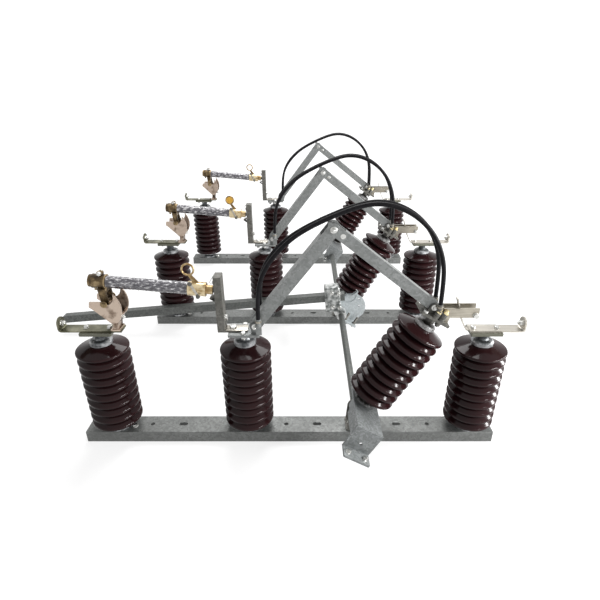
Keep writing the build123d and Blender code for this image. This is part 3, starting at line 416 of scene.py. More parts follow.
# %% [markdown]
# ## Plated and brass hardware
#
# Bolts and washers are bright plated steel, and the cones by the moving contacts are brass. They are small,
# so a little uneven colour and gloss is enough to stop them looking like chrome.

# %% Plated steel and brass


def bright_metal(name, dull, bright, rough):
    """Small bright hardware between two tones."""
    made, tree, shader, coords = finish(name, metallic=1.0)
    colour(tree, shader, ramp(tree, noise_of(tree, coords, scale=90), (0.35, dull), (0.65, bright)))
    roughness(tree, shader, noise_of(tree, coords, scale=140), *rough)
    return made


plated = bright_metal("plated_bolts", (0.42, 0.42, 0.40), (0.72, 0.72, 0.70), (0.2, 0.4))
brass = bright_metal("brass_nuts", (0.66, 0.52, 0.24), (0.92, 0.82, 0.52), (0.18, 0.35))
print("hardware:", plated.name, brass.name)

# %% [markdown]
# ## Cable jacket, fuse tube, film and disc
#
# The cables have a black PVC jacket with a slight sheen. The fuse tube's grey body is wrapped in thin clear
# film for transport, and the film is crumpled: its folds are raised, their crests painted paler as a painted
# highlight and their hollows darker as a painted shade. One fuse has an amber disc in its pull ring.

# %% Jacket, tube, film and disc
jacket, tree, shader, coords = finish("black_jacket")
worn_black = noise_of(tree, coords, scale=70)
colour(tree, shader, ramp(tree, worn_black, (0.3, (0.004, 0.004, 0.005)), (0.7, (0.012, 0.011, 0.013))))
shader.inputs["Specular IOR Level"].default_value = 0.12
roughness(tree, shader, noise_of(tree, coords, scale=200), 0.4, 0.55)
bump(tree, shader, noise_of(tree, coords, scale=500), distance=0.0003, strength=0.2)

tube_body, tree, shader, coords = finish("grey_tube", coat=0.3, coat_roughness=0.1)
mottle = noise_of(tree, coords, scale=60, detail=6)
colour(tree, shader, ramp(tree, mottle, (0.3, (0.17, 0.16, 0.18)), (0.7, (0.32, 0.31, 0.34))))
roughness(tree, shader, noise_of(tree, coords, scale=90), 0.3, 0.5)

# The crests of the folds are painted highlight and their hollows painted shade.
FOLD_HIGHLIGHT_AND_SHADE = ((0.38, (0.065, 0.06, 0.073)), (0.53, (0.165, 0.16, 0.178)), (0.63, (0.80, 0.79, 0.80)))
film, tree, shader, coords = finish("crumpled_film", coat=0.6, coat_roughness=0.08)
folds = noise_of(tree, coords, scale=85, detail=9, stretch=(0.6, 1.6, 1.6))
colour(tree, shader, ramp(tree, folds, *FOLD_HIGHLIGHT_AND_SHADE))
roughness(tree, shader, folds, 0.16, 0.42)
bump(tree, shader, folds, distance=0.004, strength=0.7)

amber, tree, shader, coords = finish("amber_disc", coat=0.5)
resin = noise_of(tree, coords, scale=150)
colour(tree, shader, ramp(tree, resin, (0.35, (0.72, 0.36, 0.02)), (0.65, (0.88, 0.52, 0.05))))
shader.inputs["Roughness"].default_value = 0.3
print("finishes so far:", len(bpy.data.materials))

# %% [markdown]
# ## Finishes on the solids
#
# Each solid keeps its mesh and gets its finish by the start of its name.

# %% Finishes on the solids
FINISH_OF = {
    "base_channel": channel_steel,
    "bearing_stands": dark_steel,
    "post_seat": seat_steel,
    "gang_shaft": tube_steel,
    "operating_lever": tube_steel,
    "latch_upright": dark_steel,
    "arm_clevis": rolled_steel,
    "link_clevises": dark_steel,
    "lower_arm": rolled_steel,
    "upper_arm": rolled_steel,
    "fixed_fittings": fixed_zinc,
    "rocking_fittings": rocking_zinc,
    "lever_hub": hub_zinc,
    "hub_plate": plate_steel,
    "fixed_insulators": porcelain,
    "rocking_insulators": porcelain,
    "fuse_terminal": strap,
    "jaw_contact": pale_tin,
    "moving_contacts": tinned,
    "fuse_hinge": hinge_bronze,
    "fuse_heel": heel_bronze,
    "fuse_head": pale_bronze,
    "fuse_tube": tube_body,
    "lower_cables": jacket,
    "upper_cables": jacket,
}
for name, solid in nodes.items():
    kind = next(start for start in FINISH_OF if name.startswith(start))
    solid.data.materials.clear()
    solid.data.materials.append(FINISH_OF[kind])
print("solids finished:", len(nodes))

# %% [markdown]
# ## From a bmesh to a piece
#
# Most added pieces end the same way: the bmesh becomes a mesh, its faces are shaded smooth between crisp
# edges, and its object rides on one body of the switch. A cable rides on no body.

# %% Mesh and piece helpers


def shaded_mesh(bm, name, angle):
    """Turn a bmesh into a mesh and free it, smooth up to an angle in degrees, with sharper edges crisp."""
    mesh = bpy.data.meshes.new(name)
    bm.to_mesh(mesh)
    bm.free()
    mesh.polygons.foreach_set("use_smooth", [True] * len(mesh.polygons))
    mesh.set_sharp_from_angle(angle=math.radians(angle))
    return mesh


def show(name, mesh, metal=None):
    """Put a mesh in the scene as an object, in a finish."""
    if metal is not None:
        mesh.materials.append(metal)
    piece = bpy.data.objects.new(name, mesh)
    bpy.context.scene.collection.objects.link(piece)
    return piece


def ride_piece(name, mesh, metal, body):
    """Show a piece of one finish that rides on a body, and tell how many faces it has."""
    piece = show(name, mesh, metal)
    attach(piece, body)
    return len(mesh.polygons)


print("piece helpers are ready")

# %% [markdown]
# ## Round bars and cables
#
# A cable stands straight out of its lug and bends in one smooth line, so its route is a NURBS spline. A
# circle is pushed from point to point of that line and turned with it, which gives a tube with even sides.

# %% Tubes along a line


def spline_points(route):
    """Points read from the smooth spline that a route controls."""
    line = bpy.data.curves.new("route", "CURVE")
    line.dimensions = "3D"
    line.resolution_u = 16
    spline = line.splines.new("NURBS")
    spline.points.add(len(route) - 1)
    for point, where in zip(spline.points, route):
        point.co = (*where, 1)
    spline.order_u = 3
    spline.use_endpoint_u = True
    holder = bpy.data.objects.new("route", line)
    read = bpy.data.meshes.new_from_object(holder)
    found = [vertex.co.copy() for vertex in read.vertices]
    bpy.data.objects.remove(holder)
    bpy.data.meshes.remove(read)
    return found


def tube_mesh(name, points, radius, sides=20):
    """Round tube along points: a circle pushed from point to point and turned with the line."""
    bm = bmesh.new()
    ways = [(b - a).normalized() for a, b in zip(points, points[1:])]
    ways = [ways[0]] + [(a + b).normalized() for a, b in zip(ways, ways[1:])] + [ways[-1]]
    start = facing(points[0], ways[0], REAR)
    made = bmesh.ops.create_circle(bm, segments=sides, radius=radius, cap_ends=True, matrix=start)
    end_face = made["verts"][0].link_faces[0]
    for here, there, way, way_next in zip(points, points[1:], ways, ways[1:]):
        grown = bmesh.ops.extrude_face_region(bm, geom=[end_face])["geom"]
        end_face = next(item for item in grown if isinstance(item, bmesh.types.BMFace))
        turn = way.rotation_difference(way_next).to_matrix().to_4x4()
        move = Matrix.Translation(there) @ turn @ Matrix.Translation(-here)
        bmesh.ops.transform(bm, matrix=move, verts=end_face.verts)
    bmesh.ops.recalc_face_normals(bm, faces=bm.faces)
    return shaded_mesh(bm, name, angle=50)


print("a bar's line is read from a spline, then a circle is pushed along it")

# %% [markdown]
# ## Jumper cables
#
# Two cables run from the middle post over the knee to the rocking post. A cable crosses a joint on either
# side of the knee, so it is made as two pieces that meet above the knee. Each runs a little way on inside
# the other. A route gives the places along the pole, out to the side of its middle, and up.

# %% Cable routes
CABLE_RADIUS = 0.008
LOWER_OVERLAP = 0.016
UPPER_OVERLAP = 0.034
LOWER_ROUTE = [
    (-0.106, 0.041, 0.526),
    (-0.106, 0.041, 0.614),
    (-0.086, 0.036, 0.702),
    (-0.032, 0.027, 0.780),
    (0.057, 0.012, 0.853),
    (0.148, 0.012, 0.894),
]
UPPER_ROUTE = [
    (0.550, 0.034, 0.582),
    (0.550, 0.034, 0.658),
    (0.541, 0.032, 0.747),
    (0.502, 0.028, 0.838),
    (0.428, 0.023, 0.908),
    (0.335, 0.017, 0.944),
    (0.239, 0.012, 0.935),
    (0.148, 0.012, 0.894),
]
print("cable routes of", len(LOWER_ROUTE), "and", len(UPPER_ROUTE), "points")

# %% [markdown]
# A bend has to be spread along a cable, or it shows as a kink in the open switch. Each range below runs
# from just above the lug to most of the way up to the knee, but nothing here reads these ranges.

# %% Jumper cables
LOWER_BEND = ((-0.106, 0.530), (0.020, 0.820))
UPPER_BEND = ((0.550, 0.586), (0.520, 0.860))


def lay_cable(name, route, overlap, pole_y, side, cad_node):
    """One cable from a lug to the knee and on by an overlap, in place of the solid's cable."""
    points = spline_points([(x, pole_y + side * aside, z) for x, aside, z in route])
    points.append(points[-1] + (points[-1] - points[-2]).normalized() * overlap)
    length = sum((b - a).length for a, b in zip(points, points[1:]))
    cable = show(name, tube_mesh(name, points, CABLE_RADIUS), jacket)
    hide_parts(cad_node)
    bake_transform(cable)
    return length


lengths = {}
for pole, pole_y in POLES.items():
    for side, hand in ((-1, "near"), (1, "far")):
        for part, body, route, overlap, bend_line in (
            ("lower", "root", LOWER_ROUTE, LOWER_OVERLAP, LOWER_BEND),
            ("upper", "shaft", UPPER_ROUTE, UPPER_OVERLAP, UPPER_BEND),
        ):
            name = f"{part}_cable_{pole}_{hand}"
            cad_node = f"{part}_cables_{pole}"
            lengths[part] = lay_cable(name, route, overlap, pole_y, side, cad_node)
print("cable lengths", {part: round(length, 3) for part, length in lengths.items()})

# %% [markdown]
# ## Bolts, nuts and pins
#
# A switch of this kind is bolted together, and the heads and nuts are what the eye stops at. Each kind of
# fastener is shaped once, in its own small bmesh, and then stamped wherever it is needed. All the hardware of
# one body and one finish becomes a single piece, which keeps the part's list of pieces short.

# %% Shapes of hardware
BLOCK_CHAMFER = 0.001
HEAD_CHAMFER = 0.07


def spin_round(bm, outline, steps):
    """Spin an outline once about Z and close the seam."""
    bmesh.ops.spin(
        bm, geom=outline, cent=(0, 0, 0), axis=(0, 0, 1), angle=math.tau, steps=steps, use_merge=True
    )
    bmesh.ops.remove_doubles(bm, verts=bm.verts, dist=1e-6)


def lathe(profile, sides=20):
    """Solid turned about Z from (radius, height) points, the first and last of them on the axis."""
    bm = bmesh.new()
    line = [bm.verts.new((radius, 0, height)) for radius, height in profile]
    edges = [bm.edges.new(pair) for pair in zip(line, line[1:])]
    spin_round(bm, line + edges, sides)
    bmesh.ops.recalc_face_normals(bm, faces=bm.faces)
    return bm


def break_edges(bm, edges, offset):
    """Round edges over in two facets."""
    bmesh.ops.bevel(bm, geom=edges, offset=offset, segments=2, profile=0.5, affect="EDGES", material=-1)


def hexagon(across, height):
    """Hexagonal prism that stands on the origin, with its top edges chamfered."""
    bm = bmesh.new()
    corner = across / math.sqrt(3)
    bmesh.ops.create_cone(bm, cap_ends=True, segments=6, radius1=corner, radius2=corner, depth=height)
    bmesh.ops.translate(bm, verts=bm.verts, vec=(0, 0, height / 2))
    top = [edge for edge in bm.edges if all(vertex.co.z > height / 2 for vertex in edge.verts)]
    break_edges(bm, top, across * HEAD_CHAMFER)
    return bm


def block(length, width, height):
    """Box that stands on the origin, with its edges broken."""
    bm = bmesh.new()
    bmesh.ops.create_cube(bm, size=1)
    bmesh.ops.scale(bm, vec=(length, width, height), verts=bm.verts)
    bmesh.ops.translate(bm, vec=(0, 0, height / 2), verts=bm.verts)
    break_edges(bm, bm.edges[:], BLOCK_CHAMFER)
    return bm


print("hardware is turned, six-sided or square")

# %% [markdown]
# A washer and a threaded end are outlines for the lathe. The thread is a stack of ridges and not a true
# helix, which looks the same at this size and closes without a seam.

# %% Outlines for the lathe
# Shares of a washer's thickness, and of a thread's radius.
WASHER_CHAMFER = 0.3
THREAD_ROOT = 0.88
THREAD_TIP = 0.8


def washer_profile(radius, thickness):
    """Outline of a washer with its upper edge broken."""
    edge = thickness * WASHER_CHAMFER
    return [(0, 0), (radius, 0), (radius, thickness - edge), (radius - edge, thickness), (0, thickness)]


def thread_profile(radius, length, pitch=0.0015):
    """Outline of a threaded end: a ridge for every pitch, then a chamfered tip."""
    turns = max(2, round(length / pitch))
    ridges = [
        point
        for turn in range(turns)
        for point in ((radius * THREAD_ROOT, turn * length / turns), (radius, (turn + 0.5) * length / turns))
    ]
    return [(0, 0), *ridges, (radius * THREAD_TIP, length), (0, length)]


def plug_profile(radius, height):
    """Outline of a plain round plug."""
    return [(0, 0), (radius, 0), (radius, height), (0, height)]


print("points of a 6 mm thread's outline:", len(thread_profile(0.003, 0.006)))

# %% [markdown]
# ## The fasteners
#
# A bolt's head, washer and shank are in fixed proportion to the size of its spanner, so four sizes come
# from one loop.

# %% Bolts and nuts
FASTENERS = {}


def keep(kind, *shapes):
    """Gather (bmesh, lift) shapes in one mesh, free them, and keep it as a kind of fastener."""
    whole = bmesh.new()
    for shape, lift in shapes:
        part = bpy.data.meshes.new("part")
        shape.to_mesh(part)
        shape.free()
        part.transform(Matrix.Translation((0, 0, lift)))
        whole.from_mesh(part)
        bpy.data.meshes.remove(part)
    mesh = bpy.data.meshes.new(kind)
    whole.to_mesh(mesh)
    whole.free()
    FASTENERS[kind] = mesh


# Shares of the width across the flats, then of the head's height.
WASHER_RADIUS = 0.62
WASHER_THICKNESS = 0.13
NUT_HEIGHT = 1.25
THREAD_SHOWN = 0.7
# For each size: across the flats, height of the head, radius of the shank.
SIZES = {
    "m8": (0.013, 0.0053, 0.004),
    "m10": (0.016, 0.0064, 0.005),
    "m12": (0.0185, 0.0075, 0.006),
    "m16": (0.024, 0.010, 0.008),
}
for size, (across, head, shank) in SIZES.items():
    seat = across * WASHER_THICKNESS
    nut = head * NUT_HEIGHT
    washer = washer_profile(across * WASHER_RADIUS, seat)
    keep("head_" + size, (lathe(washer), 0), (hexagon(across, head), seat))
    thread = lathe(thread_profile(shank, head * THREAD_SHOWN), sides=16)
    keep("nut_" + size, (lathe(washer), 0), (hexagon(across, nut), seat), (thread, seat + nut))
print("bolts and nuts:", sorted(FASTENERS))

# %% [markdown]
# The rest are one or two shapes each: the hub's long studs, the cones and barrels by the moving contacts,
# the rivets of the upper arm, the latch's tie, the link on the middle post, the disc, the collars and the
# crimps.

# %% Other hardware
STUD_SUNK = 0.020
BARREL_HEIGHT = 0.022
DISC_THICKNESS = 0.004
CONE = [(0, 0), (0.0105, 0), (0.0105, 0.004), (0.0055, 0.013), (0.0055, 0.017), (0, 0.017)]
BARREL = [
    (0, 0),
    (0.0115, 0),
    (0.0115, 0.009),
    (0.0095, 0.0105),
    (0.0115, 0.012),
    (0.0115, BARREL_HEIGHT),
    (0, BARREL_HEIGHT),
]
RIVET = [(0, 0), (0.0095, 0), (0.009, 0.001), (0.006, 0.002), (0, 0.0024)]
COLLAR = [(0, 0), (0.0115, 0), (0.0125, 0.0008), (0.0125, 0.0022), (0.0115, 0.003), (0, 0.003)]
CRIMP = [(0, 0), (0.0108, 0), (0.0118, 0.001), (0.0118, 0.006), (0.0108, 0.007), (0, 0.007)]
STUD = thread_profile(radius=0.0075, length=0.066, pitch=0.0026)
keep("long_stud", (lathe(STUD, sides=18), -STUD_SUNK))
keep("brass_cone", (lathe(CONE), 0))
keep("barrel", (lathe(BARREL), 0), (hexagon(across=0.019, height=0.010), BARREL_HEIGHT))
keep("rivet", (lathe(RIVET), 0))
keep("latch_tie", (block(length=0.070, width=0.010, height=0.0025), 0))
keep("post_link", (block(length=0.082, width=0.044, height=0.004), 0))
DISC = plug_profile(radius=0.0176, height=DISC_THICKNESS)
keep("amber_disc", (lathe(DISC, sides=32), -DISC_THICKNESS / 2))
keep("pin_collar", (lathe(COLLAR), 0))
keep("crimp_band", (lathe(CRIMP, sides=24), 0))
print("fasteners:", len(FASTENERS))

# %% [markdown]
# ## Where the hardware goes
#
# `put` stamps one fastener on a surface: the origin is the seat under its washer, and the axis points away
# from the seat. Turning each head by its own seeded angle keeps the flats from lining up like print.

# %% Stamping hardware on a body
hardware = {}
turns = random.Random(11)


def put(body, kind, place, axis, metal=plated, along=None):
    """Stamp a kind of fastener on a body at a place, along an axis, turned to a given way if it has one."""
    group = (body, metal.name)
    if group not in hardware:
        hardware[group] = bmesh.new()
    bm = hardware[group]
    count = len(bm.verts)
    bm.from_mesh(FASTENERS[kind])
    bm.verts.ensure_lookup_table()
    turn = Matrix.Rotation(turns.uniform(0, math.tau), 4, "Z") if along is None else Matrix()
    bmesh.ops.transform(bm, matrix=facing(place, axis, along) @ turn, verts=bm.verts[count:])


def through(body, size, seat, axis, grip):
    """Bolt through a joint: its head on the seat, and its nut on the far side of the grip."""
    axis = Vector(axis).normalized()
    put(body, "head_" + size, seat, axis)
    put(body, "nut_" + size, Vector(seat) - axis * grip, -axis)


def at(x, y, z):
    """Short for a point."""
    return Vector((x, y, z))


print("heads are turned by seeded angles")

# %% [markdown]
# The fixed posts carry plates, straps and tabs. Every plate has two bolts, each post has one big bolt up
# through the channel's web, and each terminal tab has one for the line.

# %% Bolts of the fixed posts
STRAP_THICKNESS = 0.006
WEB_THICKNESS = 0.005
TAB_THICKNESS = 0.006
LINK_THICKNESS = 0.004
STAND_FOOT = 0.006
TAB_BOLT_Z = 0.487
FUSE_TAB_X = -0.854
JAW_TAB_X = 0.884
LINK_BOLT_X = -0.206
PLATE_BOLTS = (-0.044, 0.044)
CLEVIS_BOLTS = (-0.034, 0.034)
STAND_BOLTS = (-0.022, 0.022)
# From the trunnion: along, towards the rear, and up. The nut looks a little down.
HINGE_NUT = (0.048, -0.020, -0.058)
HINGE_NUT_WAY = (1, 0, -0.3)


def bolt_fixed_posts(y):
    """Bolts of one pole's three fixed posts, its bearing stand and its terminal tabs, and the hinge's nut."""
    for post_x in (FUSE_POST_X, JAW_POST_X):
        for aside in PLATE_BOLTS:
            through("root", "m10", at(post_x + aside, y, PLATE_TOP + STRAP_THICKNESS), UP, grip=0.016)
    for aside in CLEVIS_BOLTS:
        through("root", "m10", at(ARM_POST_X, y + aside, PLATE_TOP), UP, grip=0.010)
    through("root", "m16", at(LINK_BOLT_X, y, PLATE_TOP + LINK_THICKNESS), UP, grip=0.014)
    for post_x in (FUSE_POST_X, ARM_POST_X, JAW_POST_X):
        put("root", "head_m16", at(post_x, y, -WEB_THICKNESS), DOWN)
    for aside in STAND_BOLTS:
        put("root", "head_m12", at(SHAFT_X + aside, y, STAND_FOOT), UP)
        put("root", "nut_m12", at(SHAFT_X + aside, y, -WEB_THICKNESS), DOWN)
    through("root", "m12", at(FUSE_TAB_X, y, TAB_BOLT_Z), -ALONG, TAB_THICKNESS)
    through("root", "m12", at(JAW_TAB_X, y, TAB_BOLT_Z), ALONG, TAB_THICKNESS)
    put("root", "nut_m8", at(TRUNNION[0], y, TRUNNION[1]) + Vector(HINGE_NUT), HINGE_NUT_WAY)


print("fixed posts at", FUSE_POST_X, ARM_POST_X, JAW_POST_X)

# %% [markdown]
# Each pin of the arms and of the fuse ends in a collar, and the arms' pins in a nut on the collar as well.
# They stand on the outer cheeks of the joint, so each joint has its own half width.

# %% Pins
COLLAR_HEIGHT = 0.003
ARM_HALF = 0.0321
LINK_HALF = 0.0231
KNEE_HALF = 0.0241
TRUNNION_HALF = 0.0394
ARM_RIVET = (0.193, 0.829)
UPPER_ARM_HALF = 0.015


def pin_joints(pole, y):
    """Collars, nuts and rivets on both ends of one pole's pins."""
    for way in (FRONT, REAR):
        for body, (x, z), half in (
            ("root", ARM_PIVOT, ARM_HALF),
            ("shaft", LINK_PIVOT, LINK_HALF),
            (f"lower_arm_{pole}", KNEE, KNEE_HALF),
        ):
            put(body, "pin_collar", at(x, y, z) + way * half, way)
            put(body, "nut_m8", at(x, y, z) + way * (half + COLLAR_HEIGHT), way)
        trunnion_end = at(TRUNNION[0], y, TRUNNION[1]) + way * TRUNNION_HALF
        put(f"fuse_{pole}", "pin_collar", trunnion_end, way, heel_bronze)
        rivet_seat = at(ARM_RIVET[0], y, ARM_RIVET[1]) + way * UPPER_ARM_HALF
        put(f"upper_arm_{pole}", "rivet", rivet_seat, way)


print("pin collars stand", ARM_HALF, LINK_HALF, KNEE_HALF, TRUNNION_HALF, "from a pole's middle")

# %% [markdown]
# The rocking post's bolts stand square to the post, so they are placed in its own directions. The cables
# are crimped in their lugs at both ends, just below the place where a route starts.

# %% Bolts of the rocking posts, and crimps
PLATE_ON_CAP = 0.010
SEAT_TOP = 0.068
CONTACT_BOLT = (0.688, 0.530)
CONTACT_HALF = 0.023
CRIMP_BELOW = 0.014
# To the side, and towards the front, of the bolts on a rocking post's cap and of those on its seat.
CAP_BOLTS = (-0.046, 0.034)
SEAT_BOLTS = (0.042, -0.040)


def bolt_rocking_post(y):
    """Bolts of one rocking post's contact, cap and seat, and the crimps of the cables."""
    through("shaft", "m12", at(CONTACT_BOLT[0], y - CONTACT_HALF, CONTACT_BOLT[1]), FRONT, 2 * CONTACT_HALF)
    for side in (-1, 1):
        cap_bolt = leaning(y, CAP_BOLTS[0], CAP_TOP + PLATE_ON_CAP, side * CAP_BOLTS[1])
        put("shaft", "head_m10", cap_bolt, LEAN_UP)
        put("shaft", "head_m12", leaning(y, side * SEAT_BOLTS[0], SEAT_TOP, SEAT_BOLTS[1]), LEAN_UP)
        for body, (x, aside, z) in (("root", LOWER_ROUTE[0]), ("shaft", UPPER_ROUTE[0])):
            put(body, "crimp_band", at(x, y + side * aside, z - CRIMP_BELOW), UP, tinned)


print("crimps stand", CRIMP_BELOW, "below the ends of the routes")

# %% [markdown]
# The latch's upright is bolted to its bracket, one big bolt shows beside the fuse post's foot, and a pale
# link lies on the middle post. Two dark barrels with brass cones stand in front of each moving contact.

# %% Uprights, links and contacts
UPRIGHT_BOLT = (-0.2335, 0.511)
FOOT_BOLT = (0.066, 0.012)
LINK_X = -0.191
BARREL_FORWARD = 0.037
# To the right along the post's top, and how high up the post the cone starts.
BARRELS = ((-0.004, 0.551), (0.020, 0.560))


def dress_upright(y):
    """Bolt of one latch upright, the bolt by the fuse post's foot, and the link on the middle post."""
    put("root", "head_m12", at(UPRIGHT_BOLT[0], y, UPRIGHT_BOLT[1]), ALONG)
    put("root", "head_m16", at(FUSE_POST_X + FOOT_BOLT[0], y - FOOT_BOLT[1], 0), UP)
    put("root", "post_link", at(LINK_X, y, PLATE_TOP + LINK_THICKNESS), UP, pale_tin, ALONG)


def dress_contact(y):
    """Barrels, their cones and their nuts in front of one moving contact."""
    for side, tip in BARRELS:
        foot = leaning(y, side, CAP_TOP + PLATE_ON_CAP, BARREL_FORWARD)
        put("shaft", "barrel", foot, LEAN_UP, dark_steel)
        put("shaft", "brass_cone", leaning(y, side, tip, BARREL_FORWARD), LEAN_UP, brass)
        put("shaft", "nut_m12", leaning(y, side, CAP_TOP, BARREL_FORWARD), -LEAN_UP, dark_steel)


for pole, y in POLES.items():
    bolt_fixed_posts(y)
    pin_joints(pole, y)
    bolt_rocking_post(y)
    dress_upright(y)
    dress_contact(y)
print("bodies with hardware:", len({body for body, metal in hardware}))

# %% [markdown]
# ## Hardware of the hub and the seats
#
# Four bolts hold the hub's plate, and two long studs clamp the hub on the shaft, with a nut above and
# below. The seats of the two outer rocking posts have a pair of bolts each through the ends of their crank
# plates.

# %% Hardware of the hub and the seats
HUB_PLATE_FRONT = -0.172
HUB_PLATE_BOLTS = ((0.214, 0.216), (0.254, 0.213), (0.222, 0.128), (0.262, 0.124))
STUD_SIDES = (0.042, 0.099)
STUD_FOOT = -0.020
STUD_FORWARD = 0.139
HUB_EAR = 0.008
CRANK_BELOW_SEAT = 0.103
CRANK_FORWARD = 0.2175
CRANK_THICKNESS = 0.008
CRANK_BOLTS = (-0.0375, 0.0375)
for x, z in HUB_PLATE_BOLTS:
    put("shaft", "head_m12", at(x, HUB_PLATE_FRONT, z), FRONT)
for side in STUD_SIDES:
    foot = leaning(0, side, STUD_FOOT, STUD_FORWARD)
    put("shaft", "long_stud", foot, LEAN_UP, dark_steel)
    put("shaft", "nut_m10", foot, LEAN_UP, dark_steel)
    put("shaft", "nut_m10", foot - LEAN_UP * HUB_EAR, -LEAN_UP, dark_steel)
for pole in ("front", "rear"):
    for side in CRANK_BOLTS:
        crank = leaning(POLES[pole], side, SEAT_TOP - CRANK_BELOW_SEAT, CRANK_FORWARD)
        through("shaft", "m12", crank, LEAN_UP, CRANK_THICKNESS)
print("groups of hardware:", len(hardware))

# %% [markdown]
# ## The fuse's own hardware
#
# The fuse lies at a slight slope, so its places are given along it, up from it and to its side. The heel
# is a clamp, and one bolt across its two ears closes it on the tube.

# %% Fuse places
FUSE_DROP = math.radians(5)
FUSE_WAY = Vector((math.cos(FUSE_DROP), 0, -math.sin(FUSE_DROP)))
FUSE_UP = Vector((math.sin(FUSE_DROP), 0, math.cos(FUSE_DROP)))
FUSE_LENGTH = 0.398
HEEL_BACK = 0.046
AXIS_ABOVE_TRUNNION = 0.073


def on_fuse(pole_y, along, up=0.0, forward=0.0):
    """Point by the fuse: along its tube from the heel, up from its axis, and towards the front."""
    pivot = Vector((TRUNNION[0], pole_y - forward, TRUNNION[1]))
    return pivot + FUSE_WAY * (along - HEEL_BACK) + FUSE_UP * (up + AXIS_ABOVE_TRUNNION)


print("the fuse slopes", round(math.degrees(FUSE_DROP)), "degrees down to its latch")

# %% [markdown]
# The places are along the tube, up from its axis and towards the front. The tie lies on the head's face and
# slants down to the latch.

# %% Hardware of the fuses
DISC_PLACE = (0.338, 0.072)
TIE_PLACE = (0.3655, 0.008, 0.0275)
TIE_WAY = (0.445, 0, -0.895)
TIE_BOLTS = ((0.3515, 0.031), (0.3800, -0.016))
TIE_FACE = 0.0300
HEEL_BOLT = (0.029, 0.0325, 0.008)
HEEL_GRIP = 0.016
NOSE = FUSE_LENGTH + 0.030
put("fuse_middle", "amber_disc", on_fuse(POLES["middle"], *DISC_PLACE), FRONT, amber)
for pole, y in POLES.items():
    fuse = f"fuse_{pole}"
    put(fuse, "latch_tie", on_fuse(y, *TIE_PLACE), FRONT, pale_tin, TIE_WAY)
    for along, up in TIE_BOLTS:
        put(fuse, "head_m8", on_fuse(y, along, up, TIE_FACE), FRONT, dark_steel)
    through(fuse, "m8", on_fuse(y, *HEEL_BOLT), FRONT, HEEL_GRIP)
    put(fuse, "head_m10", on_fuse(y, NOSE), FUSE_WAY, dark_steel)
print("heel bolts grip", HEEL_GRIP)

# %% [markdown]
# All the fasteners are stamped now. Each could be an object of its own, but that would be hundreds of pieces,
# so every group of one body and one finish becomes one piece.

# %% Pieces of hardware
for (body, metal), bm in hardware.items():
    mesh = shaded_mesh(bm, f"bolts_{body}_{metal}", angle=30)
    faces = ride_piece(mesh.name, mesh, bpy.data.materials[metal], body)
    print(mesh.name, faces, "faces")

# %% [markdown]
# ## Film round the fuse
#
# The tube is still in its transport film, wound tight and crumpled. The film is a shell spun from a long
# thin rectangle round the tube's axis, then pushed in and out by noise that runs mostly across the tube, so
# that it wrinkles like wound plastic. A Displace modifier could do it, but it would move both ends as well.
# Here the noise fades to nothing at the ends, where the metal holds the film down.

# %% Film
FILM_START = 0.0505
FILM_END = FUSE_LENGTH - 0.0595
FILM_STEPS = 96
FILM_SIDES = 56
FILM_OUTER = 0.0222
FILM_INNER = 0.0204
FOLD_HEIGHT = 0.0016
FOLD_DEPTH = 0.0012
FADE_LENGTH = 0.02
FOLDS_ACROSS = 55
FOLDS_ALONG = 120
FINE_FOLDS = 2.7


def crumple(bm, seed):
    """Push the outer wall of a wound film in and out, and leave its inner wall alone."""
    for vertex in bm.verts:
        radial = Vector((vertex.co.x, vertex.co.y, 0))
        if radial.length < (FILM_OUTER + FILM_INNER) / 2:
            continue
        across = radial * FOLDS_ACROSS
        place = Vector((across.x, across.y, vertex.co.z * FOLDS_ALONG + seed))
        fold = noise.noise(place) + 0.5 * noise.noise(place * FINE_FOLDS)
        from_ends = min(vertex.co.z - FILM_START, FILM_END - vertex.co.z)
        fade = min(1, from_ends / FADE_LENGTH)
        vertex.co += radial.normalized() * max(-FOLD_DEPTH, FOLD_HEIGHT * fold) * fade


def wind_film(pole, pole_y, seed):
    """Crumpled shell of film round one fuse tube."""
    bm = bmesh.new()
    span = FILM_END - FILM_START
    outer = [(FILM_OUTER, FILM_START + span * step / FILM_STEPS) for step in range(FILM_STEPS + 1)]
    ring = outer + [(FILM_INNER, FILM_END), (FILM_INNER, FILM_START)]
    line = [bm.verts.new((radius, 0, along)) for radius, along in ring]
    edges = [bm.edges.new(pair) for pair in zip(line, line[1:] + line[:1])]
    spin_round(bm, line + edges, FILM_SIDES)
    crumple(bm, seed)
    bmesh.ops.recalc_face_normals(bm, faces=bm.faces)
    bmesh.ops.transform(bm, matrix=facing(on_fuse(pole_y, 0), FUSE_WAY, FUSE_UP), verts=bm.verts)
    mesh = shaded_mesh(bm, f"film_{pole}", angle=60)
    return ride_piece(mesh.name, mesh, film, f"fuse_{pole}")


print("film faces:", [wind_film(pole, y, seed) for seed, (pole, y) in enumerate(POLES.items())])

# %% [markdown]
# ## Rib and hook wires
#
# The hub plate is stiffened by a rib that sweeps over its face, and each latch has a bent wire that guides
# the fuse's nose home. Both are round bars pushed along a smooth line, like the cables.

# %% Rib and hook wires
RIB_Y = -0.1075
RIB_RADIUS = 0.004
RIB_ROUTE = [(0.284, 0.126), (0.308, 0.126), (0.338, 0.131), (0.356, 0.146), (0.364, 0.163), (0.366, 0.188)]
WIRE_FORWARD = 0.018
WIRE_RADIUS = 0.0013
WIRE_ROUTE = [(-0.255, 0.693), (-0.265, 0.676), (-0.275, 0.662), (-0.270, 0.656), (-0.262, 0.661)]


def bend_bar(name, route, radius, body, metal, sides):
    """Round bar along a route, riding on a body."""
    mesh = tube_mesh(name, spline_points(route), radius, sides)
    return ride_piece(name, mesh, metal, body)


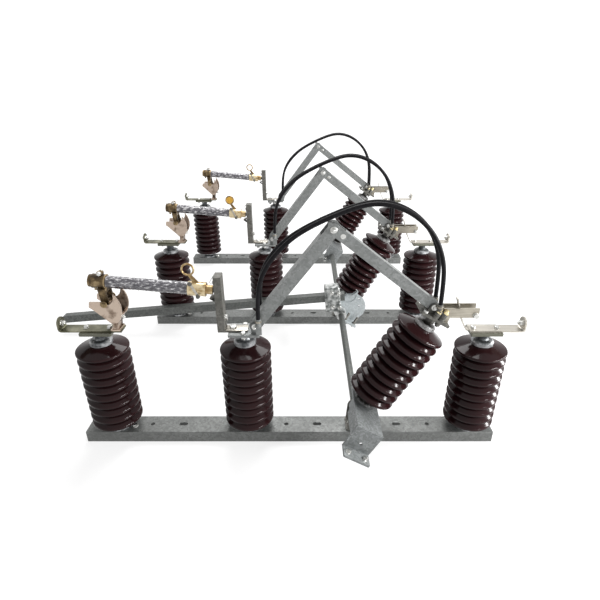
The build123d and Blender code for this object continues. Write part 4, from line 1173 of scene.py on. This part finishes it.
rib_line = [(x, RIB_Y, z) for x, z in RIB_ROUTE]
print("rib faces", bend_bar("hub_rib", rib_line, RIB_RADIUS, "shaft", plate_steel, sides=12))
for pole, y in POLES.items():
    wire_line = [(x, y - WIRE_FORWARD, z) for x, z in WIRE_ROUTE]
    faces = bend_bar(f"hook_wire_{pole}", wire_line, WIRE_RADIUS, "root", plated, sides=8)
    print("hook wire faces", faces)

# %% [markdown]
# ## Studio
#
# A pale floor sweeps up into a backdrop, so no horizon shows. It is a strip of three flats that is drawn
# out sideways and rounded at its two bends.

# %% Studio floor
FLOOR_Z = cad_box[0][2]
FLOOR_LEFT = -9
FLOOR_WIDTH = 18
FLOOR_BEND = 1.4
FLOOR_OUTLINE = ((-7, FLOOR_Z), (5.5, FLOOR_Z), (7.5, 0.8), (8.5, 6.0))
bm = bmesh.new()
corners = [bm.verts.new((FLOOR_LEFT, y, z)) for y, z in FLOOR_OUTLINE]
edges = [bm.edges.new(pair) for pair in zip(corners, corners[1:])]
swept = bmesh.ops.extrude_edge_only(bm, edges=edges)["geom"]
moved = [item for item in swept if isinstance(item, bmesh.types.BMVert)]
bmesh.ops.translate(bm, verts=moved, vec=(FLOOR_WIDTH, 0, 0))
bends = [edge for edge in bm.edges if len(edge.link_faces) == 2]
bmesh.ops.bevel(bm, geom=bends, offset=FLOOR_BEND, segments=8, profile=0.5, affect="EDGES", material=-1)
bmesh.ops.recalc_face_normals(bm, faces=bm.faces)
floor_mesh = shaded_mesh(bm, "studio_floor", angle=60)
studio_floor = show("studio_floor", floor_mesh)
print("floor faces:", len(floor_mesh.polygons))

# %% [markdown]
# The studio has to look white without more light on the object. So the floor is a mid grey that only glows
# for the rays that come straight from the camera or from a mirror-like or clear surface, and the world does
# the same. The glow is added to the lit floor, and so the shadow under the object still shows. The lit part
# fades out towards the backdrop, so the glow grows to full there.

# %% White for the eye only
FLOOR_GREY = (0.42, 0.42, 0.42, 1)


def eye_rays(tree, seen, unseen):
    """Strength for rays that show the studio, and another for rays that light the object."""
    path = node(tree, "LightPath").outputs
    straight = {0: path["Is Camera Ray"], 1: path["Is Glossy Ray"]}
    either = node(tree, "Math", straight, operation="MAXIMUM").outputs["Value"]
    any_of = node(tree, "Math", {0: either, 1: path["Is Transmission Ray"]}, operation="MAXIMUM")
    return scale_range(tree, any_of.outputs["Value"], unseen, seen)


pale, tree, shader, coords = finish("pale_floor")
shader.inputs["Base Color"].default_value = FLOOR_GREY
shader.inputs["Roughness"].default_value = 0.9
shader.inputs["Specular IOR Level"].default_value = 0.1
shader.inputs["Emission Color"].default_value = (1, 1, 1, 1)
depth = node(tree, "SeparateXYZ", {"Vector": coords}).outputs["Y"]
rise = node(tree, "MapRange", {"Value": depth}, from_min=1.5, from_max=5.0, to_min=0.72, to_max=1.0)
for_the_eye = {0: eye_rays(tree, seen=1.0, unseen=0.0), 1: rise.outputs["Result"]}
glow = node(tree, "Math", for_the_eye, operation="MULTIPLY")
tree.links.new(glow.outputs["Value"], shader.inputs["Emission Strength"])
floor_mesh.materials.append(pale)
print("floor finish:", pale.name)

# %% [markdown]
# ## Lamps
#
# A long flat strip to the right draws a bright line down the glazed sheds, and a large soft box above and
# behind lights the plates from the top. The world fills the shadows.

# %% Lamps
SKY_SEEN = 1.0
SKY_LIGHT = 0.34


def lamp(name, place, target, width, height, power):
    """Rectangular soft box at a place, aimed at a target."""
    data = bpy.data.lights.new(name, "AREA")
    data.shape = "RECTANGLE"
    data.size = width
    data.size_y = height
    data.energy = power
    made = bpy.data.objects.new(name, data)
    made.location = place
    made.rotation_euler = (Vector(target) - Vector(place)).to_track_quat("-Z", "Y").to_euler()
    bpy.context.scene.collection.objects.link(made)


lamp("strip_right", (3.3, -1.6, 1.2), (-0.3, -1.0, 0.25), width=3.6, height=0.3, power=215)
lamp("top_rear", (0.2, 1.8, 4.2), (0, 0, 0), width=2.8, height=2.8, power=185)
world = bpy.data.worlds.new("world")
bpy.context.scene.world = world
world.use_nodes = True
sky = world.node_tree.nodes["Background"]
sky.inputs["Color"].default_value = (1, 1, 1, 1)
world.node_tree.links.new(eye_rays(world.node_tree, SKY_SEEN, SKY_LIGHT), sky.inputs["Strength"])
print("lamps:", len(bpy.data.lights))
